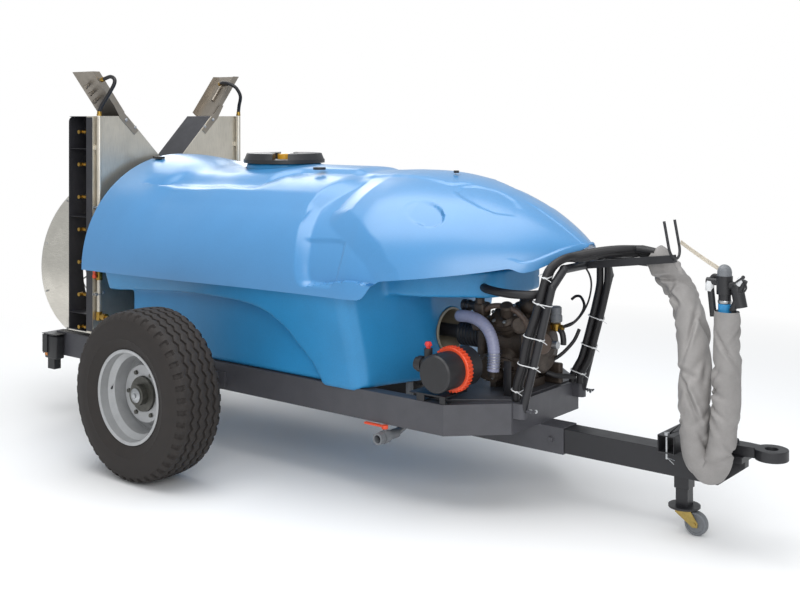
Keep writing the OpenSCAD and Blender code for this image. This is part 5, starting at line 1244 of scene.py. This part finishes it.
class SPRAYER_OT_arm_hoses(bpy.types.Operator):
    """Hoses from the boom pipes to the upper arms, with brass ends"""
    bl_idname = "sprayer.arm_hoses"
    bl_label = "Arm hoses"
    bl_options = {"REGISTER", "UNDO"}

    def execute(self, context):
        right = [(-845, -494, 1171), (-844, -494, 1190), (-826, -491, 1226), (-772, -485, 1288), (-738, -480, 1336),
                 (-742, -477, 1362), (-776, -475, 1374), (-818, -474, 1366), (-852, -474, 1358)]
        left = [(-845, 494, 1171), (-844, 494, 1190), (-832, 488, 1230), (-806, 474, 1284), (-812, 452, 1328),
                (-832, 434, 1350), (-870, 424, 1363), (-915, 426, 1364), (-944, 438, 1357)]
        obj = join("arm_hoses_bent", pipe("a", over_deck(right), sizes().arm_hose * 1000, 6, 4),
                   pipe("b", over_deck(left), sizes().arm_hose * 1000, 6, 4))
        smooth(obj, 50)
        paint(obj, "hose")
        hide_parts("arm_hoses")
        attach(obj, "chassis")
        ends = []
        for route in (right, left):
            for end, nxt in ((route[0], route[1]), (route[-1], route[-2])):
                d = np.array(nxt, float) - np.array(end, float)
                p = np.array(end, float) + (0, 0, DECK)
                ends.append(turned("ferrule", [(11.5, 0), (11.5, 22), (10.6, 24)], at(*p), d, 20))
                ends.append(turned("nut", [(13, 0), (13, 9)], at(*p), d, 6))
        fit = join("arm_hose_ends", *ends)
        smooth(fit, 30)
        paint(fit, "brass")
        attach(fit, "chassis")
        return {"FINISHED"}


class SPRAYER_OT_lamps(bpy.types.Operator):
    """Bracket plates, housings and lenses of the tail lamps"""
    bl_idname = "sprayer.lamps"
    bl_label = "Tail lamps"
    bl_options = {"REGISTER", "UNDO"}

    def execute(self, context):
        low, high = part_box("tail_lamps")
        rear = low.x * 1000 - AXLE.x * 1000
        top = high.z * 1000
        parts, lenses = [], []
        for s in (-1, 1):
            edge = s * high.y * 1000
            inner = edge - s * 138
            parts.append(block("bracket", (rear - 4, min(edge, inner), top),
                               (rear + 130, max(edge, inner), top + 3.5), 1))
            lenses.append(block("side_lens", (rear - 1.6, min(edge - s * 6, inner + s * 8), top - 108),
                                (rear - 0.2, max(edge - s * 6, inner + s * 8), top - 12), 0.5))
        housings, sides = [], []
        for s in (-1, 1):
            y0, y1 = sorted((s * 519, s * 467))
            housings.append(block("housing", (-1290, y0, 316), (-1184, y1, 440), 7, 3))
            y0, y1 = sorted((s * 519.4, s * 521))
            sides.append(block("side", (-1286, y0, 330), (-1262, y1, 428), 0.6, 1))
        housing = smooth(join("lamp_housings", *housings), 30)
        paint(housing, "black_plastic")
        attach(housing, "chassis")
        side_lens = join("side_lenses", *sides)
        paint(side_lens, "amber")
        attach(side_lens, "chassis")
        obj = join("lamp_brackets", *parts)
        paint(obj, "black_steel")
        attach(obj, "chassis")
        lens = join("lamp_lenses", *lenses)
        paint(lens, "lamp")
        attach(lens, "chassis")
        return {"FINISHED"}


class SPRAYER_OT_fan_trim(bpy.types.Operator):
    """Thin dark strips over the fan plate's flanges as painted shade, the clips of its riser pipes and the pins of its
    cowl
    """
    bl_idname = "sprayer.fan_trim"
    bl_label = "Fan trim"
    bl_options = {"REGISTER", "UNDO"}

    def execute(self, context):
        shade_sheets, clips, pins = [], [], []
        for s in (-1, 1):
            # Thin dark strips over the front plate's outer flanges: painted shade where the flanges lie in shadow
            low, high = sorted((s * 522.6, s * 524.2))
            shade_sheets.append(block("strip", (-914, low, 505), (-864, high, 1621), 0.4, 1))
            for h in (1152, 700):
                clips.append(pipe("clip", around((-846, s * 500, h), (0, 0, 1), 16.5, 16.5, 1), 2.2, 1, 2))
                clips.append(block("clip_foot", (-861, s * 500 - 24, h - 7), (-857, s * 500 + 24, h + 7), 1, 1))
        low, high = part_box("fan_cowl")
        middle = (low + high) / 2
        r = (high.z - low.z) / 2 * 1000
        x = (middle.x - AXLE.x) * 1000
        for k in range(12):
            t = math.radians(30 * k + 15)
            out = (0, math.cos(t), math.sin(t))
            place = at(x - 96, out[1] * (r - 1), middle.z * 1000 + out[2] * (r - 1))
            pins.append(turned("pin", [(6, 0), (6, 4), (3.4, 5), (3.4, 12), (2.4, 13)], place, out, 10))
        for name, parts, key, slot in (("fan_edge_strips", shade_sheets, "dark_sheet", "black_paint"),
                                       ("riser_clips", clips, "zinc", "zinc"), ("cowl_pins", pins, "zinc", "zinc")):
            obj = smooth(join(name, *parts), 30)
            paint(obj, key)
            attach(obj, "chassis")
        return {"FINISHED"}


class SPRAYER_OT_wheel_trim(bpy.types.Operator):
    """Tyre valves and hub caps, which turn with the wheels"""
    bl_idname = "sprayer.wheel_trim"
    bl_label = "Wheel trim"
    bl_options = {"REGISTER", "UNDO"}

    def execute(self, context):
        for side, s in SIDES:
            valve = join(f"valve_{side}", turned("stem", [(4, 0), (4, 26), (5, 27), (5, 38), (4, 39)],
                                                 at(-184, s * 915, 392), (0.75, s * 0.66, 0), 14))
            paint(valve, "black_plastic")
            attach(valve, f"wheel_{side}")
            cap = join(f"hub_cap_{side}", turned("cap", [(30, 0), (32, 2), (32, 4), (24, 7), (22, 8)],
                                                 at(0, s * 927.2, WHEEL_Z), (0, s, 0), 32),
                       turned("cap_nut", [(12, 0), (12, 6), (10, 7)], at(0, s * 935, WHEEL_Z), (0, s, 0), 6))
            smooth(cap, 30)
            paint(cap, "zinc")
            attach(cap, f"wheel_{side}")
        return {"FINISHED"}


class SPRAYER_OT_strap(bpy.types.Operator):
    """Woven strap that holds the control unit to the fork, with its rolled edges, seams and slight twist"""
    bl_idname = "sprayer.strap"
    bl_label = "Strap"
    bl_options = {"REGISTER", "UNDO"}

    def execute(self, context):
        low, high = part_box("strap")
        a = np.array([low.x, high.y, high.z]) * 1000 + (2, -1, -9)
        b = np.array([high.x, low.y, low.z]) * 1000 + (-2, 1, 9)
        d = (b - a) / np.linalg.norm(b - a)
        across = np.cross(np.cross(d, (0, 0, 1.0)), d)
        across /= np.linalg.norm(across)
        flat = np.cross(d, across)
        rows = []
        share = np.linspace(0, 1, 61)
        for q in share:
            turn = math.radians(3 * math.sin(2 * math.pi * q))
            u = across * math.cos(turn) + flat * math.sin(turn)
            w = flat * math.cos(turn) - across * math.sin(turn)
            # Seams where the ends are folded back and stitched
            seam = 0.5 * sum(math.exp(-((q - place) / 0.006) ** 2) for place in (0.06, 0.12, 0.88, 0.94))
            middle = a + (b - a) * q - np.array([0, 0, 2.4 * math.sin(math.pi * q)])
            row = []
            for k in np.linspace(-1, 1, 15):
                edge = 0.5 * math.exp(-((abs(k) - 0.88) / 0.08) ** 2)
                rib = 0.14 * math.cos(k * 9 * math.pi)
                row.append(middle + u * 8.6 * k + w * (edge + rib - seam * (abs(k) < 0.9)))
            rows.append(row)
        grid = np.array(rows)
        grid[:, :, 0] -= AXLE.x * 1000
        obj = sheet_grid("woven_strap", grid)
        modify(obj, "SOLIDIFY", thickness=0.0014, offset=0.0)
        outward(obj)
        smooth(obj, 40)
        paint(obj, "webbing")
        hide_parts("strap")
        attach(obj, "chassis")
        return {"FINISHED"}


class SPRAYER_OT_control_trim(bpy.types.Operator):
    """Tape, blue dial with its ring, and hose tails of the control unit"""
    bl_idname = "sprayer.control_trim"
    bl_label = "Control unit trim"
    bl_options = {"REGISTER", "UNDO"}

    def execute(self, context):
        x, y, z = 2392, -84, DECK + 536
        tape = join("hose_tape", turned("tape", [(16, 0), (16.4, 1), (16.4, 37), (16, 38)], at(x - 60, y, z - 26),
                                        (0.1, 0, 1), 28),
                    turned("tape_r", [(15, 0), (15.4, 1), (15.4, 23), (15, 24)], at(x + 62, y - 14, z + 8),
                           (0.5, -0.1, 0.85), 28))
        smooth(tape, 30)
        paint(tape, "white")
        # The dial takes the tank's finish, whose deeper blue is partly painted shade
        blue = turned("dial", [(23.4, 0), (24, 1), (24, 34), (23.4, 35)], at(x + 1.6, y - 4, z - 104), (0, 0, 1), 36)
        smooth(blue, 30)
        paint(blue, "tank")
        ring = turned("dial_ring", [(24.6, 0), (25.2, 1), (25.2, 9), (24.6, 10)], at(x + 1.6, y - 4, z - 66),
                      (0, 0, 1), 36)
        loop = pipe("unit_loop", [(x + 60, y - 16, z + 20), (x + 84, y - 26, z + 22), (x + 96, y - 30, z + 2),
                                  (x + 84, y - 28, z - 16), (x + 66, y - 24, z - 14)], 3.4, 8, 3)
        tails = join("unit_tails", loop, pipe("tail", [(x - 58, y + 2, z + 12), (x - 44, y + 6, z + 30),
                                                       (x - 22, y + 4, z + 26)], 9, 6, 3))
        for obj, key, slot in ((ring, "zinc", "zinc"), (tails, "hose", "black_hose")):
            smooth(obj, 40)
            paint(obj, key)
        for obj in (tape, blue, ring, tails):
            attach(obj, "chassis")
        return {"FINISHED"}


# ---- Finishes of the CAD pieces ----------------------------------------------------------
DRESSED = {
    "rail_right": ("grey_steel", 2), "rail_left": ("grey_steel", 2), "front_crossbar": ("grey_steel", 2),
    "crossmembers": ("grey_steel", 1.5), "axle_beam": ("grey_steel", 2), "drawbar": ("black_steel", 2.5),
    "tow_eye": ("black_steel", 3), "storage_pin": ("zinc", 0.5), "stand_leg": ("black_steel", 1.5),
    "caster_fork": ("gold_zinc", 0.8), "caster_wheel": ("grey_plastic", 1), "rim_right": ("rim", 1.5),
    "rim_left": ("rim", 1.5), "hub_right": ("hub", 1.5), "hub_left": ("hub", 1.5),
    "filler_basket": ("black_plastic", 0.8), "filler_lid": ("black_plastic", 2), "lid_vent": ("yellow", 2),
    "service_caps": ("black_plastic", 1.5), "pump_body": ("casting", 2), "pump_valves": ("casting", 1),
    "pump_shaft": ("zinc", 0.8), "drive_shaft": ("black_steel", 1), "gearbox": ("gear_casting", 2),
    "filter_body": ("black_plastic", 1), "filter_bowl": ("black_plastic", 1.5),
    "hose_support": ("black_steel", 1), "post_clamps": ("grey_steel", 1), "control_unit": ("black_plastic", 1),
    "control_knob": ("grey_plastic", 1.5), "control_lever": ("black_plastic", 0.6),
    "drain_valve": ("grey_plastic", 1), "drain_lever": ("orange", 1), "fan_front_plate": ("stainless", 0.6),
    "fan_rear_plate": ("dark_sheet", 0.6), "air_guides": ("dark_sheet", 0.4), "fan_cowl": ("spun", 0.6),
    "fan_grille": ("zinc", 0), "fan_rotor": ("fan_plastic", 1), "risers": ("stainless", 0.6),
    # The upper arms take the stainless painted darker as painted shade
    "nozzles": ("brass", 0.6), "arm_right": ("arm_stainless_shade", 0.6), "arm_left": ("arm_stainless_shade", 0.6),
    "tail_lamps": ("black_plastic", 1.5), "supply_valves": ("brass", 0.8),
    "supply_lever_right": ("orange", 0.8), "supply_lever_left": ("orange", 0.8),
}


class SPRAYER_OT_finishes(bpy.types.Operator):
    """Finishes, rounded edges and shading of the pieces that keep their CAD mesh"""
    bl_idname = "sprayer.finishes"
    bl_label = "Frame and fittings"
    bl_options = {"REGISTER", "UNDO"}

    def execute(self, context):
        for name, (material, bevel) in DRESSED.items():
            dress(name, material, bevel)
        return {"FINISHED"}


# ---- Camera, light and floor -------------------------------------------------------------
class SPRAYER_OT_stage(bpy.types.Operator):
    """Camera, lights, floor and background"""
    bl_idname = "sprayer.stage"
    bl_label = "Stage"
    bl_options = {"REGISTER", "UNDO"}

    def execute(self, context):
        only()
        bpy.ops.object.camera_add(location=at(4131.19, -4210.07, 1625.87),
                                  rotation=(math.radians(90), 0, math.radians(38.385)))
        camera = bpy.context.object
        camera.data.lens = 51.81
        camera.data.sensor_width = 36
        camera.data.shift_x = -0.0059
        camera.data.shift_y = -0.2295
        camera.data.clip_end = 100
        bpy.context.scene.camera = camera
        bpy.ops.mesh.primitive_circle_add(vertices=96, radius=sizes().floor, fill_type="NGON",
                                          location=(0, 0, -0.0005))
        floor = settle(bpy.context.object, "floor")
        mat = bpy.data.materials.new("pale_studio_floor")
        mat.use_nodes = True
        tree = mat.node_tree
        shader = tree.nodes["Principled BSDF"]
        shader.inputs["Base Color"].default_value = linear("#f4f4f4")
        shader.inputs["Roughness"].default_value = 0.9
        # Far from the cart the floor turns to plain white, as the backdrop is
        where = add_node(tree, "TexCoord").outputs["Object"]
        far = add_node(tree, "VectorMath", {0: where}, operation="LENGTH").outputs["Value"]
        share = add_node(tree, "MapRange", {"Value": far, "From Min": 2.6, "From Max": 5.0})
        path = add_node(tree, "LightPath").outputs["Is Camera Ray"]
        both = add_node(tree, "Math", {0: share.outputs[0], 1: path}, operation="MULTIPLY")
        white = add_node(tree, "Emission", {"Color": (1, 1, 1, 1), "Strength": 1.0})
        blend = add_node(tree, "MixShader", {0: both.outputs[0], 1: shader.outputs[0], 2: white.outputs[0]})
        tree.links.new(blend.outputs[0], tree.nodes["Material Output"].inputs["Surface"])
        floor.data.materials.append(mat)
        for name, place, aim, size, power in (
                ("overhead_light", (0.2, -0.6, 4.6), (0, 0, 0.8), 4.2, sizes().overhead),
                ("front_light", (3.6, -3.6, 2.6), (0, 0, 0.8), 2.6, sizes().front),
                ("rear_light", (-4.4, 2.4, 3.0), (0, 0, 0.9), 2.6, sizes().rear)):
            bpy.ops.object.light_add(type="AREA", location=place)
            lamp = bpy.context.object
            lamp.name = name
            lamp.data.size = size
            lamp.data.energy = power
            lamp.rotation_euler = (Vector(aim) - Vector(place)).to_track_quat("-Z", "Y").to_euler()
        world = bpy.context.scene.world or bpy.data.worlds.new("studio")
        bpy.context.scene.world = world
        world.use_nodes = True
        tree = world.node_tree
        path = add_node(tree, "LightPath")
        sees = add_node(tree, "Math", {0: path.outputs["Is Camera Ray"], 1: path.outputs["Is Transmission Ray"]},
                        operation="MAXIMUM")
        dim = add_node(tree, "Background", {"Color": (0.94, 0.97, 1, 1), "Strength": 0.62})
        plain = add_node(tree, "Background", {"Color": (1, 1, 1, 1), "Strength": 1.0})
        mixed = add_node(tree, "MixShader", {0: sees.outputs[0], 1: dim.outputs[0], 2: plain.outputs[0]})
        tree.links.new(mixed.outputs[0], tree.nodes["World Output"].inputs["Surface"])
        bpy.context.scene.view_settings.view_transform = "Standard"
        return {"FINISHED"}


# ---- Panel and registration --------------------------------------------------------------
OPERATORS = (SPRAYER_OT_stage, SPRAYER_OT_finishes, SPRAYER_OT_hood, SPRAYER_OT_tank, SPRAYER_OT_tyres,
             SPRAYER_OT_hoses, SPRAYER_OT_sleeve, SPRAYER_OT_ties, SPRAYER_OT_bolts, SPRAYER_OT_pump_bay,
             SPRAYER_OT_filter, SPRAYER_OT_arm_hoses, SPRAYER_OT_lamps, SPRAYER_OT_fan_trim, SPRAYER_OT_wheel_trim,
             SPRAYER_OT_strap, SPRAYER_OT_control_trim)


class SPRAYER_PT_panel(bpy.types.Panel):
    """Operators, sizes and colours of the sprayer"""
    bl_idname = "SPRAYER_PT_panel"
    bl_label = "Sprayer"
    bl_space_type = "VIEW_3D"
    bl_region_type = "UI"
    bl_category = "Sprayer"

    def draw(self, context):
        for made in OPERATORS:
            self.layout.operator(made.bl_idname)
        for title, group in (("Sizes", context.scene.sprayer_sizes), ("Colours", context.scene.sprayer_colours)):
            box = self.layout.box()
            box.label(text=title)
            for key in group.__annotations__:
                box.prop(group, key)


CLASSES = (SprayerSizes, SprayerColours, *OPERATORS, SPRAYER_PT_panel)


def register():
    for made in CLASSES:
        bpy.utils.register_class(made)
    bpy.types.Scene.sprayer_sizes = bpy.props.PointerProperty(type=SprayerSizes)
    bpy.types.Scene.sprayer_colours = bpy.props.PointerProperty(type=SprayerColours)


def unregister():
    del bpy.types.Scene.sprayer_colours
    del bpy.types.Scene.sprayer_sizes
    for made in reversed(CLASSES):
        bpy.utils.unregister_class(made)


def main():
    register()
    bpy.ops.sprayer.stage()
    bpy.ops.sprayer.finishes()
    bpy.ops.sprayer.hood()
    bpy.ops.sprayer.tank()
    bpy.ops.sprayer.tyres()
    bpy.ops.sprayer.hoses()
    bpy.ops.sprayer.sleeve()
    bpy.ops.sprayer.ties()
    bpy.ops.sprayer.bolts()
    bpy.ops.sprayer.pump_bay()
    bpy.ops.sprayer.filter()
    bpy.ops.sprayer.arm_hoses()
    bpy.ops.sprayer.lamps()
    bpy.ops.sprayer.fan_trim()
    bpy.ops.sprayer.wheel_trim()
    bpy.ops.sprayer.strap()
    bpy.ops.sprayer.control_trim()


if __name__ == "__main__":
    main()
